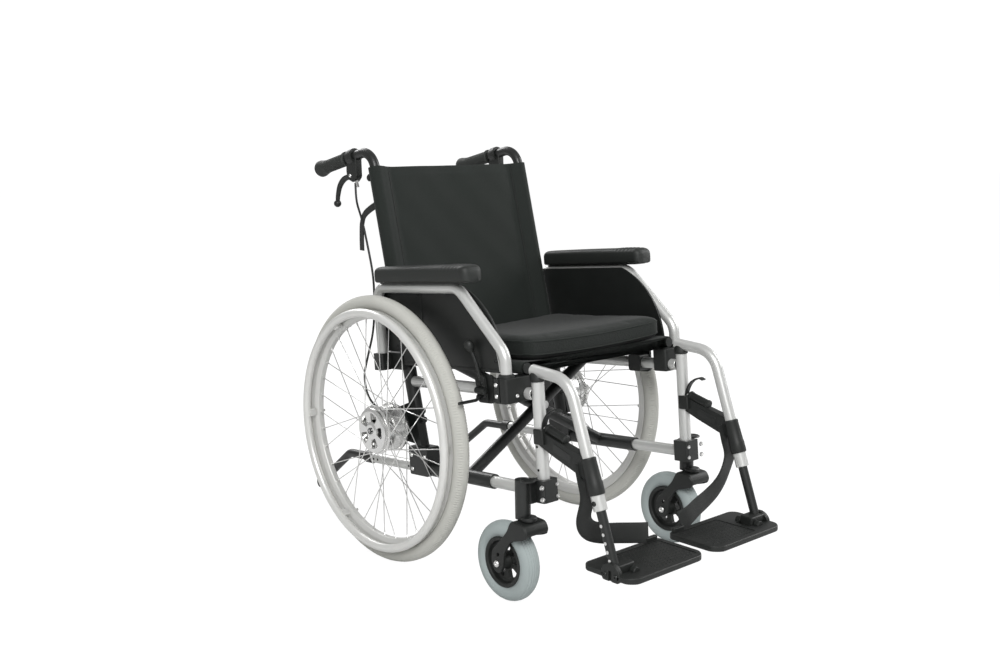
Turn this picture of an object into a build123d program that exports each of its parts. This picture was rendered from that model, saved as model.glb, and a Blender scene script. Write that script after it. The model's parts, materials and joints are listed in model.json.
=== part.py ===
"""Folding manual wheelchair with attendant drum brakes, built piece by piece.

Millimetres, +Z up, the rider faces -Y, and the rider's right is -X. The origin is on the
floor under the middle of the chair. Each side's pieces are drawn for the right-hand side
and mirrored for the left.
"""

import os
from math import cos, radians, sin, tan

from build123d import *

os.makedirs("parts", exist_ok=True)

# ---- Driving dimensions ------------------------------------------------------------
FRAME_X = 222.0  # centre plane of each side frame, from the middle
WHEEL_R = 305.0  # 24 inch rear wheel
CASTOR_R = 85.0
TILT = 4.3  # the frame's front is raised by this many degrees
SEAT_N = 456.0  # seat rail height, square to the tilted frame
LOWER_N = 206.0  # lower frame tube height
UPPER_N = SEAT_N - 51  # upper frame tube height
POST_A = -475.0  # front post, ahead of the axle along the frame
BACK_LEAN = 9.3  # the back leans this much more than the frame
FRONT_REACH = 711.0  # foremost point of the footplates, ahead of the axle
REAR_REACH = 408.0  # rearmost point of the anti-tipper wheels, behind the axle
RUNNING = 0.3  # clearance between pieces that slide or turn past each other

AXLE_Y = (FRONT_REACH - REAR_REACH) / 2  # this centres the whole chair on the origin
FRAME_R = 12.5  # upper and lower frame tubes
POST_R = 13.0
WALL = 2.0

# The frame plane: local x is X, local y runs back along the frame, local z is square to it.
FRAME = Plane(
    origin=(0, AXLE_Y, 0),
    x_dir=(1, 0, 0),
    z_dir=(0, sin(radians(TILT)), cos(radians(TILT))),
)
# The level plane: the same, but not tilted.
LEVEL = Plane(origin=(0, AXLE_Y, 0))


# ---- Helpers -----------------------------------------------------------------------
def tube(points, bends, radius, plane=FRAME, mode=Mode.ADD):
    """Sweep a round bar along straight runs joined by bends."""
    with BuildLine(plane) as route:
        if len(points) > 2:
            FilletPolyline(*points, radius=bends)
        else:
            Line(*points)
    path = route.wires()[0]
    with BuildSketch(Plane(path @ 0, z_dir=path % 0)) as section:
        Circle(radius)
    sweep(section.sketch, path=path, mode=mode)


def ring(x_low, x_high, outer, inner, centre, plane=LEVEL):
    """Make a ring about an axis along X, between two x stations."""
    middle = plane.from_local_coords((0, centre[0], centre[1]))
    face = Plane((x_low, middle.Y, middle.Z), x_dir=(0, 1, 0), z_dir=(1, 0, 0))
    with BuildSketch(face) as section:
        Circle(outer)
        if inner:
            Circle(inner, mode=Mode.SUBTRACT)
    extrude(section.sketch, amount=x_high - x_low)


def side_plane(x, plane=LEVEL):
    """A sketch plane facing +X at the station x: sketch x runs back, sketch y runs up."""
    return Plane(plane.from_local_coords((x, 0, 0)), x_dir=plane.y_dir, z_dir=(1, 0, 0))


def save(part, name):
    """Label one piece and write its file."""
    part.label = name
    export_step(part, f"parts/{name}.step")


def save_pair(part, name):
    """Write the right-hand piece and its mirror image."""
    save(part, f"right_{name}")
    save(mirror(part, about=Plane.YZ), f"left_{name}")


# ---- Side frame: silver post and two tubes ------------------------------------------
POST_LOW_N = LOWER_N - 21
POST_TOP_N = UPPER_N + 26
LOWER_REAR_A = 128.0
BACK_SLOPE = tan(radians(BACK_LEAN))
BACK_TOP_A = 31.3  # where the back tube meets the top of the upholstery
BACK_TOP_N = SEAT_N + 441
RIGHT = -FRAME_X
CRADLE_GAP = 0.3  # the seat rail rests this far above its cradle
RAIL_R = 11.0
RAIL_X = FRAME_X - 3
RAIL_FRONT_A = -444.0
RAIL_REAR_A = -66.0
CRADLES_A = (-395.0, -120.0)
SOCKET_A = -425.0  # front armrest socket
SOCKET_LOW_N = UPPER_N - 15
SOCKET_TOP_N = UPPER_N + 36
ARM_X = FRAME_X + 38
ARM_R = 12.0
ARM_FOOT_N = UPPER_N - 3
REAR_POST_R = 15.5


def back_a(n):
    """How far behind the axle the back tube is, at height n."""
    return BACK_TOP_A - (BACK_TOP_N - n) * BACK_SLOPE


with BuildPart() as side_frame:
    tube([(RIGHT, POST_A, POST_LOW_N), (RIGHT, POST_A, POST_TOP_N)], 0, POST_R)
    tube([(RIGHT, POST_A, UPPER_N), (RIGHT, back_a(UPPER_N), UPPER_N)], 0, FRAME_R)
    tube([(RIGHT, POST_A, LOWER_N), (RIGHT, LOWER_REAR_A, LOWER_N)], 0, FRAME_R)
    bore = dict(mode=Mode.SUBTRACT)
    tube([(RIGHT, POST_A, POST_LOW_N), (RIGHT, POST_A, POST_TOP_N)], 0, POST_R - WALL, **bore)
    tube([(RIGHT, POST_A + POST_R, UPPER_N), (RIGHT, 0, UPPER_N)], 0, FRAME_R - WALL, **bore)
    tube([(RIGHT, POST_A + POST_R, LOWER_N), (RIGHT, 200, LOWER_N)], 0, FRAME_R - WALL, **bore)
    # the upper tube's rear end is cut to the rear post
    rear_post = [(RIGHT, back_a(n), n) for n in (UPPER_N - 60, UPPER_N + 60)]
    tube(rear_post, 0, REAR_POST_R + 0.1, **bore)
    # armrest socket block with its blind bore
    with BuildSketch(FRAME.offset(SOCKET_LOW_N)):
        with Locations((-(ARM_X + FRAME_X) / 2 - 1, SOCKET_A)):
            RectangleRounded(78, 40, 6)
    extrude(amount=SOCKET_TOP_N - SOCKET_LOW_N)
    with BuildSketch(FRAME.offset(ARM_FOOT_N)):
        with Locations((-ARM_X, SOCKET_A)):
            Circle(ARM_R + RUNNING)
    extrude(amount=60, mode=Mode.SUBTRACT)
    # cradles that carry the seat rail
    for a in CRADLES_A:
        with BuildSketch(FRAME.offset(UPPER_N)):
            with Locations((-RAIL_X, a)):
                RectangleRounded(24, 34, 4)
        extrude(amount=SEAT_N - UPPER_N + 4)
        low = (-RAIL_X, a - 30, SEAT_N)
        tube([low, (-RAIL_X, a + 30, SEAT_N)], 0, RAIL_R + CRADLE_GAP, **bore)
        with BuildSketch(FRAME.offset(SEAT_N)):
            with Locations((-RAIL_X, a)):
                Rectangle(2 * (RAIL_R + CRADLE_GAP), 60)
        extrude(amount=20, mode=Mode.SUBTRACT)
save_pair(side_frame.part, "side_frame")

# ---- Axle plate: rear post, axle receiver, stub axle and drum anchor -----------------
CANE_R = 11.5
REAR_POST_TOP_N = UPPER_N + 31
AXLE_R = 6.35
AXLE_END_X = FRAME_X + 109
ANCHOR_R = 50.0
ANCHOR_X = FRAME_X + 36
HUB_INNER_X = ANCHOR_X + 5
REAR_LEG_A = 2.0  # the armrest's rear leg
REAR_LEG_FOOT_N = SEAT_N - 8
with BuildPart() as axle_plate:
    low_n = LOWER_N + FRAME_R + 2
    post_low = (RIGHT, back_a(low_n), low_n)
    post_top = (RIGHT, back_a(REAR_POST_TOP_N), REAR_POST_TOP_N)
    tube([post_low, post_top], 0, REAR_POST_R)
    # the box that clamps the post to the lower tube
    with BuildSketch(side_plane(RIGHT - 18, FRAME)):
        with Locations((back_a(235), 224)):
            RectangleRounded(68, 66, 5)
    extrude(amount=36)
    # plate from the post back to the axle
    with BuildSketch(side_plane(RIGHT - 17, FRAME)):
        with BuildLine():
            Polyline(
                (back_a(262) - 18, 262),
                (0, 270),
                (0, 340),
                (back_a(362) - 12, 362),
                close=True,
            )
        make_face()
    extrude(amount=12)
    lower = [(RIGHT, -200, LOWER_N), (RIGHT, 0, LOWER_N)]
    tube(lower, 0, FRAME_R + 0.1, mode=Mode.SUBTRACT)
    ring(RIGHT - 34, RIGHT - 4, 16, 0, (0, WHEEL_R))
    # row of spare axle holes
    with BuildSketch(side_plane(RIGHT - 20, FRAME)):
        with Locations((back_a(290) + 24, 282), (back_a(330) + 24, 328)):
            Circle(6)
    extrude(amount=18, mode=Mode.SUBTRACT)
    # the drum brake's anchor plate and the stub axle
    ring(-ANCHOR_X - 3, -ANCHOR_X + 4, ANCHOR_R, 0, (0, WHEEL_R))
    ring(-AXLE_END_X, RIGHT, AXLE_R, 0, (0, WHEEL_R))
    # bracket and blind socket for the armrest's rear leg
    with BuildSketch(FRAME.offset(REAR_LEG_FOOT_N - 14)):
        with Locations((-ARM_X, REAR_LEG_A)):
            RectangleRounded(34, 34, 6)
        with Locations((-ARM_X + 22, (REAR_LEG_A + back_a(430)) / 2)):
            Rectangle(22, REAR_LEG_A - back_a(430) + 16)
    extrude(amount=38)
    with BuildSketch(FRAME.offset(REAR_LEG_FOOT_N - 4)):
        with Locations((-ARM_X, REAR_LEG_A)):
            Circle(ARM_R + RUNNING)
    extrude(amount=60, mode=Mode.SUBTRACT)
    # bore that takes the back tube
    cane_foot_n = LOWER_N + 80
    deep = (RIGHT, back_a(cane_foot_n), cane_foot_n)
    tube([deep, (RIGHT, back_a(560), 560)], 0, CANE_R + 0.2, mode=Mode.SUBTRACT)
    # two clamp knobs on the front of the post
    for n in (318, 338):
        knob = Plane(FRAME.from_local_coords((RIGHT, back_a(n), n)), z_dir=-FRAME.y_dir)
        with BuildSketch(knob.offset(REAR_POST_R - 1)):
            Circle(7)
        extrude(amount=11)
save_pair(axle_plate.part, "axle_plate")

# ---- Back tube, push grip, attendant brake and its cable -----------------------------
HANDLE_N = BACK_TOP_N + 41  # where the back tube's line meets the handle's
GRIP_SLOPE = 11.5  # the grip drops this many degrees towards the rear
GRIP_FROM = 211.0
GRIP_TO = 331.0
GRIP_R = 15.5
GRIP_FLARE_R = 20.0
CANE_BEND_R = 45.0


handle_corner = FRAME.from_local_coords((RIGHT, back_a(HANDLE_N), HANDLE_N))


def grip_z(y):
    """Height of the handle's axis at y behind the axle."""
    return handle_corner.Z - (y - handle_corner.Y + AXLE_Y) * tan(radians(GRIP_SLOPE))


cane_foot = FRAME.from_local_coords((RIGHT, back_a(cane_foot_n), cane_foot_n))
cane_route = [
    (RIGHT, cane_foot.Y - AXLE_Y, cane_foot.Z),
    (RIGHT, handle_corner.Y - AXLE_Y, handle_corner.Z),
    (RIGHT, GRIP_TO - 12, grip_z(GRIP_TO - 12)),
]
with BuildPart() as back_tube:
    tube(cane_route, CANE_BEND_R, CANE_R, LEVEL)
save_pair(back_tube.part, "back_tube")

grip_dir = (0, cos(radians(GRIP_SLOPE)), -sin(radians(GRIP_SLOPE)))
GRIP = Plane((RIGHT, AXLE_Y + GRIP_FROM, grip_z(GRIP_FROM)), x_dir=(1, 0, 0), z_dir=grip_dir)
grip_length = (GRIP_TO - GRIP_FROM) / cos(radians(GRIP_SLOPE))
with BuildPart() as push_grip:
    with BuildSketch(Plane(GRIP.origin, x_dir=(1, 0, 0), z_dir=GRIP.y_dir)):
        with BuildLine() as outline:
            Polyline(
                (0, 0),
                (GRIP_R, 0),
                (GRIP_R, -0.62 * grip_length),
                (GRIP_FLARE_R, -0.86 * grip_length),
                (GRIP_FLARE_R, -grip_length),
                (0, -grip_length),
                close=True,
            )
        make_face()
    revolve(axis=Axis(GRIP.origin, GRIP.z_dir))
    fillet(push_grip.faces().sort_by(Axis(GRIP.origin, GRIP.z_dir))[-1].edges(), 7)
    tube(cane_route, CANE_BEND_R, CANE_R + 0.1, LEVEL, Mode.SUBTRACT)
save_pair(push_grip.part, "push_grip")

CLAMP_Y = 186.0
HOUSING_X = 18.0
# The handle plane stands at the corner of the back tube: local y runs back, local z runs up.
HANDLE = Plane(origin=(0, handle_corner.Y, handle_corner.Z))
LEVER_PIVOT = (80.0, -60.0)
LEVER_PIN_R = 3.5
with BuildPart() as brake_bracket:
    clamp = Plane((RIGHT, AXLE_Y + CLAMP_Y, grip_z(CLAMP_Y)), x_dir=(1, 0, 0), z_dir=grip_dir)
    with BuildSketch(clamp.offset(-11)):
        Circle(18.5)
    extrude(amount=22)
    with BuildSketch(side_plane(RIGHT - HOUSING_X / 2, HANDLE)):
        with BuildLine():
            Polyline((59, -20), (97, -27), (94, -68), (70, -76.7), (56, -66), close=True)
        make_face()
    extrude(amount=HOUSING_X)
    tube(cane_route, CANE_BEND_R, CANE_R + 0.1, LEVEL, Mode.SUBTRACT)
    with BuildSketch(side_plane(RIGHT - 5, HANDLE)):
        with Locations(LEVER_PIVOT):
            Circle(15)
        with Locations((97, -64)):
            Rectangle(34, 46)
    extrude(amount=10, mode=Mode.SUBTRACT)
    ring(RIGHT - HOUSING_X / 2, RIGHT + HOUSING_X / 2, LEVER_PIN_R, 0, LEVER_PIVOT, HANDLE)
save_pair(brake_bracket.part, "brake_lever_bracket")

with BuildPart() as brake_lever:
    with BuildSketch(side_plane(RIGHT - 4.5, HANDLE)):
        with BuildLine():
            Polyline((77, -49), (88, -52), (132, -68), (150, -110), (158, -126))
            Polyline((158, -126), (146, -129), (130, -90), (82, -71), (72, -66), (77, -49))
        make_face()
    extrude(amount=9)
    ball = HANDLE.from_local_coords((RIGHT, 152, -127))
    with Locations((ball.X, ball.Y, ball.Z)):
        Sphere(9)
    with BuildSketch(side_plane(RIGHT - 6, HANDLE)):
        with Locations(LEVER_PIVOT):
            Circle(LEVER_PIN_R + 0.1)
    extrude(amount=12, mode=Mode.SUBTRACT)
save_pair(brake_lever.part, "brake_lever")

CABLE_R = 2.5
cable_points = [
    (RIGHT - 2, 178, 855),
    (RIGHT - 8, 168, 812),
    (RIGHT - 17, 132, 768),
    (RIGHT - 24, 104, 712),
    (RIGHT - 25, 84, 646),
    (RIGHT - 24, 84, 578),
    (RIGHT - 26, 90, 512),
    (RIGHT - 26, 116, 452),
    (RIGHT - 26, 137, 400),
    (RIGHT - 26, 122, 352),
    (RIGHT - 28, 82, 332),
    (RIGHT - 29, 46, 336),
]
cable_radii = []
for before, here, after in zip(cable_points, cable_points[1:], cable_points[2:]):
    run_in = Vector(here) - Vector(before)
    run_out = Vector(after) - Vector(here)
    turn = radians(run_in.get_angle(run_out))
    cable_radii.append(0.45 * min(run_in.length, run_out.length) / tan(turn / 2))
print("brake cable radii", [round(r) for r in cable_radii])
with BuildPart() as brake_cable:
    tube(cable_points, cable_radii, CABLE_R, LEVEL)
save_pair(brake_cable.part, "brake_cable")

# ---- Rear wheel ----------------------------------------------------------------------
WHEEL_X = HUB_INNER_X + 35.3
TYRE_R = 17.5
RIM_OUTER = WHEEL_R - 2 * TYRE_R
RIM_INNER = RIM_OUTER - 19
HANDRIM_X = WHEEL_X + 29.1
HANDRIM_R = RIM_OUTER - 2.2
HANDRIM_TUBE_R = 9.5
TAB_AT_R = RIM_OUTER - 12  # where the handrim's tabs meet the rim
HUB_R = 52.0
FLANGE_R = 56.0
SPOKES = 36
SPOKE_R = 1.1
wheel_axis = Axis((0, AXLE_Y, WHEEL_R), (1, 0, 0))
with BuildPart() as rear_tyre:
    with BuildSketch(Plane((-WHEEL_X, AXLE_Y, WHEEL_R), x_dir=(1, 0, 0), z_dir=(0, -1, 0))):
        with Locations((0, WHEEL_R - TYRE_R)):
            Circle(TYRE_R)
        with Locations((0, RIM_OUTER)):
            Rectangle(20, 12)
        with Locations((0, RIM_OUTER - 6)):
            Rectangle(40, 12, align=(Align.CENTER, Align.MAX), mode=Mode.SUBTRACT)
    revolve(axis=wheel_axis)
save_pair(rear_tyre.part, "rear_tyre")

with BuildPart() as rear_rim:
    with BuildSketch(Plane((-WHEEL_X, AXLE_Y, WHEEL_R), x_dir=(1, 0, 0), z_dir=(0, -1, 0))):
        with BuildLine():
            Polyline(
                (-13, RIM_OUTER + 4),
                (-10.5, RIM_OUTER + 4),
                (-10.5, RIM_OUTER - 6.5),
                (10.5, RIM_OUTER - 6.5),
                (10.5, RIM_OUTER + 4),
                (13, RIM_OUTER + 4),
                (13, RIM_OUTER - 10),
                (6, RIM_INNER),
                (-6, RIM_INNER),
                (-13, RIM_OUTER - 10),
                close=True,
            )
        make_face()
    revolve(axis=wheel_axis)
    tyre_clear = Plane((-WHEEL_X, AXLE_Y, WHEEL_R), x_dir=(1, 0, 0), z_dir=(0, -1, 0))
    with BuildSketch(tyre_clear):
        with Locations((0, WHEEL_R - TYRE_R)):
            Circle(TYRE_R + 0.02)
    revolve(axis=wheel_axis, mode=Mode.SUBTRACT)
save_pair(rear_rim.part, "rear_rim")

with BuildPart() as handrim:
    with BuildSketch(Plane((-HANDRIM_X, AXLE_Y, WHEEL_R), x_dir=(1, 0, 0), z_dir=(0, -1, 0))):
        with Locations((0, HANDRIM_R)):
            Circle(HANDRIM_TUBE_R)
    revolve(axis=wheel_axis)
    # six tabs bolt the handrim to the rim
    for k in range(6):
        spin = radians(30 + 60 * k)
        tab = Plane(
            (-WHEEL_X - 13.2, AXLE_Y + TAB_AT_R * sin(spin), WHEEL_R + TAB_AT_R * cos(spin)),
            x_dir=(0, cos(spin), -sin(spin)),
            z_dir=(-1, 0, 0),
        )
        with BuildSketch(tab):
            Rectangle(16, 9)
        extrude(amount=HANDRIM_X - WHEEL_X - 13.2)
save_pair(handrim.part, "handrim")

with BuildPart() as rear_hub:
    x_out = -AXLE_END_X + 3
    ring(x_out, -HUB_INNER_X, HUB_R, 0, (0, WHEEL_R))
    ring(-HUB_INNER_X - 6, -HUB_INNER_X, FLANGE_R, 0, (0, WHEEL_R))
    ring(-WHEEL_X - 17, -WHEEL_X - 11, FLANGE_R, 0, (0, WHEEL_R))
    # hollow drum that takes the brake shoes
    with BuildSketch(side_plane(-HUB_INNER_X)):
        with Locations((0, WHEEL_R)):
            Circle(43)
    extrude(amount=-26, mode=Mode.SUBTRACT)
    # five windows in the outer face
    with BuildSketch(side_plane(x_out)):
        for k in range(5):
            spin = radians(72 * k + 18)
            with Locations((32 * sin(spin), WHEEL_R + 32 * cos(spin))):
                Circle(9.5)
    extrude(amount=24, mode=Mode.SUBTRACT)
    with BuildSketch(side_plane(-AXLE_END_X)):
        with Locations((0, WHEEL_R)):
            Circle(AXLE_R + 0.08)
    extrude(amount=AXLE_END_X, mode=Mode.SUBTRACT)
save_pair(rear_hub.part, "rear_hub")

CROSS = 2.2  # crossing spokes leave the flange this far either side of its middle
LACE = 50  # a spoke leads its rim hole by this many degrees at the hub
with BuildPart() as spokes:
    for k in range(SPOKES):
        side = 1 if (k // 2) % 2 == 0 else -1
        x_flange = -HUB_INNER_X - 3 if k % 2 == 0 else -WHEEL_X - 14
        at_rim = radians(k * 360 / SPOKES)
        at_hub = at_rim + radians(side * LACE)
        hub_r = FLANGE_R - 3
        foot = (x_flange + side * CROSS, hub_r * sin(at_hub), WHEEL_R + hub_r * cos(at_hub))
        rim_r = RIM_INNER + 3
        tip = (-WHEEL_X, rim_r * sin(at_rim), WHEEL_R + rim_r * cos(at_rim))
        tube([foot, tip], 0, SPOKE_R, LEVEL)
save_pair(spokes.part, "spokes")

# ---- Castor ---------------------------------------------------------------------------
CASTOR_X = FRAME_X + 35
CASTOR_Y = -383.5
STEM_Y = -431.0
CASTOR_W = 43.0
CASTOR_RIM_R = 53.0
HOUSING_R = 16.0
HOUSING_LOW = 187.0
HOUSING_TOP = 268.0
STEM_R = 6.0
CASTOR_BOLT_R = 5.0
ARM_IN = CASTOR_W / 2 + 3
ARM_OUT = ARM_IN + 6.5
castor_axis = Axis((0, AXLE_Y + CASTOR_Y, CASTOR_R), (1, 0, 0))
castor_sketch = Plane(
    (-CASTOR_X, AXLE_Y + CASTOR_Y, CASTOR_R), x_dir=(1, 0, 0), z_dir=(0, -1, 0)
)
with BuildPart() as castor_tyre:
    with BuildSketch(castor_sketch):
        with BuildLine():
            Polyline((-16, CASTOR_RIM_R), (-CASTOR_W / 2, 64), (-CASTOR_W / 2, 70))
            ThreePointArc((-CASTOR_W / 2, 70), (0, CASTOR_R), (CASTOR_W / 2, 70))
            Polyline((CASTOR_W / 2, 70), (CASTOR_W / 2, 64), (16, CASTOR_RIM_R), (-16, CASTOR_RIM_R))
        make_face()
    revolve(axis=castor_axis)
save_pair(castor_tyre.part, "castor_tyre")

with BuildPart() as castor_rim:
    ring(-CASTOR_X - 16, -CASTOR_X + 16, CASTOR_RIM_R, 42, (CASTOR_Y, CASTOR_R))
    ring(-CASTOR_X - 5, -CASTOR_X + 5, 43, 0, (CASTOR_Y, CASTOR_R))
    ring(-CASTOR_X - 22, -CASTOR_X + 22, 13, 0, (CASTOR_Y, CASTOR_R))
    with BuildSketch(side_plane(-CASTOR_X - 20)):
        for k in range(6):
            spin = radians(60 * k)
            at = (CASTOR_Y + 27.5 * sin(spin), CASTOR_R + 27.5 * cos(spin))
            with Locations(at):
                Circle(9)
    extrude(amount=40, mode=Mode.SUBTRACT)
    with BuildSketch(side_plane(-CASTOR_X - 30)):
        with Locations((CASTOR_Y, CASTOR_R)):
            Circle(CASTOR_BOLT_R + 0.08)
    extrude(amount=60, mode=Mode.SUBTRACT)
save_pair(castor_rim.part, "castor_rim")

with BuildPart() as castor_fork:
    for x in (-CASTOR_X - ARM_OUT, -CASTOR_X + ARM_IN):
        with BuildSketch(side_plane(x)):
            with BuildLine():
                Polyline((STEM_Y - 22, 171), (STEM_Y - 22, 184), (STEM_Y + 20, 184))
                Line((STEM_Y + 20, 184), (CASTOR_Y + 13, CASTOR_R + 12))
                Line((CASTOR_Y + 13, CASTOR_R + 12), (CASTOR_Y + 13, CASTOR_R - 10))
                Line((CASTOR_Y + 13, CASTOR_R - 10), (CASTOR_Y - 13, CASTOR_R - 10))
                Line((CASTOR_Y - 13, CASTOR_R - 10), (STEM_Y - 22, 171))
            make_face()
            with Locations((CASTOR_Y, CASTOR_R)):
                Circle(15)
        extrude(amount=ARM_OUT - ARM_IN)
    with BuildSketch(LEVEL.offset(171)):
        with Locations((-CASTOR_X, STEM_Y)):
            RectangleRounded(2 * ARM_OUT, 44, 10)
    extrude(amount=14)
    with BuildSketch(LEVEL.offset(180)):
        with Locations((-CASTOR_X, STEM_Y)):
            Circle(STEM_R)
    extrude(amount=HOUSING_TOP - 186)
    ring(-CASTOR_X - ARM_OUT, -CASTOR_X + ARM_OUT, CASTOR_BOLT_R, 0, (CASTOR_Y, CASTOR_R))
save_pair(castor_fork.part, "castor_fork")

with BuildPart() as castor_housing:
    with BuildSketch(LEVEL.offset(HOUSING_LOW)):
        with Locations((-CASTOR_X, STEM_Y)):
            Circle(HOUSING_R)
    extrude(amount=HOUSING_TOP - HOUSING_LOW)
    # clamp that grips the front post, with its two bolts
    with BuildSketch(FRAME.offset(UPPER_N - 218)):
        with Locations((RIGHT, POST_A)):
            RectangleRounded(42, 42, 6)
        with Locations((RIGHT - 20, POST_A + 14)):
            Rectangle(30, 22)
    extrude(amount=46)
    post = [(RIGHT, POST_A, 100), (RIGHT, POST_A, 300)]
    tube(post, 0, POST_R + 0.1, mode=Mode.SUBTRACT)
    lower = [(RIGHT, POST_A, LOWER_N), (RIGHT, 0, LOWER_N)]
    tube(lower, 0, FRAME_R + 0.1, mode=Mode.SUBTRACT)
    with BuildSketch(LEVEL.offset(HOUSING_LOW - 1)):
        with Locations((-CASTOR_X, STEM_Y)):
            Circle(STEM_R + 0.08)
    extrude(amount=HOUSING_TOP - HOUSING_LOW - 4, mode=Mode.SUBTRACT)
save_pair(castor_housing.part, "castor_housing")

# ---- Swing-away legrest ---------------------------------------------------------------
HANGER_R = 12.0
HANGER_BORE = 10.0
HANGER_TOP = (-428.0, 487.0)
HANGER_CORNER = (-533.0, 480.0)
HANGER_END_Z = 237.0
LEG_LEAN = 19.1  # the lower leg leans forward by this many degrees
SLEEVE_R = 16.5
FOOT_POST_R = 9.7
FOOT_Z = 126.0  # hinge of the footplate


def leg_y(z):
    """Where the legrest's lower tube is at height z, behind the axle."""
    return -581.5 - (334.7 - z) * tan(radians(LEG_LEAN))


hanger_route = [
    (RIGHT, HANGER_TOP[0], HANGER_TOP[1]),
    (RIGHT, leg_y(HANGER_CORNER[1]), HANGER_CORNER[1]),
    (RIGHT, leg_y(HANGER_END_Z), HANGER_END_Z),
]
with BuildPart() as legrest_hanger:
    tube(hanger_route, 58, HANGER_R, LEVEL)
    # plastic sleeve low on the tube, and the silver collar under it
    tube([(RIGHT, leg_y(266), 266), (RIGHT, leg_y(335), 335)], 0, SLEEVE_R, LEVEL)
    tube([(RIGHT, leg_y(237), 237), (RIGHT, leg_y(267), 267)], 0, 14, LEVEL)
    # arm that latches on the front post
    with BuildSketch(side_plane(RIGHT - 9)):
        with BuildLine():
            Polyline(
                (-444, 372), (-540, 350), (leg_y(330), 340), (leg_y(290), 285), (-444, 341), close=True
            )
        make_face()
    extrude(amount=18)
    with BuildSketch(FRAME.offset(306)):
        with Locations((RIGHT, POST_A - 9)):
            Rectangle(38, 28)
    extrude(amount=31)
    post_space = [(RIGHT, POST_A, 250), (RIGHT, POST_A, POST_TOP_N + 0.5)]
    tube(post_space, 0, POST_R + RUNNING, mode=Mode.SUBTRACT)
    # pivot pin in the front post, with its cap
    with BuildSketch(FRAME.offset(POST_TOP_N + 0.5)):
        with Locations((RIGHT, POST_A)):
            Circle(POST_R + 1.5)
    extrude(amount=20)
    with BuildSketch(FRAME.offset(POST_TOP_N - 40)):
        with Locations((RIGHT, POST_A)):
            Circle(POST_R - WALL - 0.2)
    extrude(amount=60)
    # the footrest post slides in this bore
    bore_top = 395
    slide = [(RIGHT, leg_y(220), 220), (RIGHT, leg_y(bore_top), bore_top)]
    tube(slide, 0, HANGER_BORE, LEVEL, Mode.SUBTRACT)
save_pair(legrest_hanger.part, "legrest_hanger")

PLATE_PIN_X = FRAME_X - 27
PLATE_PIN_R = 4.0
PLATE_TOP = FOOT_Z
PLATE_T = 12.0
PLATE_IN_X = 16.0
PLATE_OUT_X = FRAME_X + 16
PLATE_REAR = -577.0
KNUCKLE_W = 34.0
PLATE_SWING = 21.0  # the plate clears the knuckle as it turns up
knuckle_y = leg_y(FOOT_Z)
with BuildPart() as footrest_post:
    tube([(RIGHT, leg_y(120), 120), (RIGHT, leg_y(325), 325)], 0, FOOT_POST_R, LEVEL)
    with BuildSketch(LEVEL.offset(FOOT_Z - 14)):
        with Locations((-(PLATE_PIN_X + PLATE_OUT_X) / 2 + 6, knuckle_y)):
            RectangleRounded(PLATE_OUT_X - PLATE_PIN_X + 10, KNUCKLE_W, 6)
    extrude(amount=30)
    pin_plane = Plane((-PLATE_PIN_X, AXLE_Y + knuckle_y - 34, FOOT_Z), z_dir=(0, 1, 0))
    with BuildSketch(pin_plane):
        Circle(PLATE_PIN_R)
    extrude(amount=68)
    # row of height holes
    for z in (160, 180, 200):
        with BuildSketch(side_plane(RIGHT - 15)):
            with Locations((leg_y(z), z)):
                Circle(3)
        extrude(amount=30, mode=Mode.SUBTRACT)
save_pair(footrest_post.part, "footrest_post")

with BuildPart() as footplate:
    middle_y = (PLATE_REAR - FRONT_REACH) / 2
    with BuildSketch(LEVEL.offset(PLATE_TOP - PLATE_T)):
        with Locations((-(PLATE_IN_X + PLATE_OUT_X) / 2, middle_y)):
            RectangleRounded(PLATE_OUT_X - PLATE_IN_X, FRONT_REACH + PLATE_REAR, 14)
        with Locations((-PLATE_PIN_X + PLATE_SWING, knuckle_y)):
            slot_size = (PLATE_OUT_X, KNUCKLE_W + 2)
            Rectangle(*slot_size, align=(Align.MAX, Align.CENTER), mode=Mode.SUBTRACT)
    extrude(amount=PLATE_T)
    # two ears on the hinge pin
    for y in (knuckle_y - KNUCKLE_W / 2 - 13, knuckle_y + KNUCKLE_W / 2 + 1):
        ear = Plane((-PLATE_PIN_X, AXLE_Y + y, FOOT_Z), x_dir=(1, 0, 0), z_dir=(0, 1, 0))
        with BuildSketch(ear):
            Circle(9)
        extrude(amount=12)
    hole = Plane((-PLATE_PIN_X, AXLE_Y + knuckle_y - 50, FOOT_Z), z_dir=(0, 1, 0))
    with BuildSketch(hole):
        Circle(PLATE_PIN_R + 0.1)
    extrude(amount=100, mode=Mode.SUBTRACT)
save_pair(footplate.part, "footplate")

STRAP_W = 46.0
STRAP_T = 2.0
strap_gap = (SLEEVE_R + STRAP_T / 2 + 0.5) / cos(radians(LEG_LEAN))
with BuildPart() as heel_strap:
    with BuildSketch(side_plane(RIGHT - 14)):
        with BuildLine():
            FilletPolyline(
                (leg_y(281) + strap_gap, 281),
                (leg_y(250) + strap_gap, 250),
                (-562, 190),
                (-566, 150),
                (PLATE_REAR + 1.8, 116),
                radius=30,
            )
            offset(amount=STRAP_T / 2)
        make_face()
    extrude(amount=STRAP_W)
save_pair(heel_strap.part, "heel_strap")

# ---- Armrest ----------------------------------------------------------------------------
ARM_N = SEAT_N + 166
PAD_FRONT_A = -348.0
PAD_REAR_A = -18.0
PAD_W = 54.0
PAD_T = 38.0
arm_route = [
    (-ARM_X, SOCKET_A, ARM_FOOT_N),
    (-ARM_X, SOCKET_A, 489),
    (-ARM_X, -290, ARM_N),
    (-ARM_X, REAR_LEG_A, ARM_N),
    (-ARM_X, REAR_LEG_A, REAR_LEG_FOOT_N),
]
with BuildPart() as armrest_tube:
    tube(arm_route, [45, 50, 26], ARM_R)
save_pair(armrest_tube.part, "armrest_tube")

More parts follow.
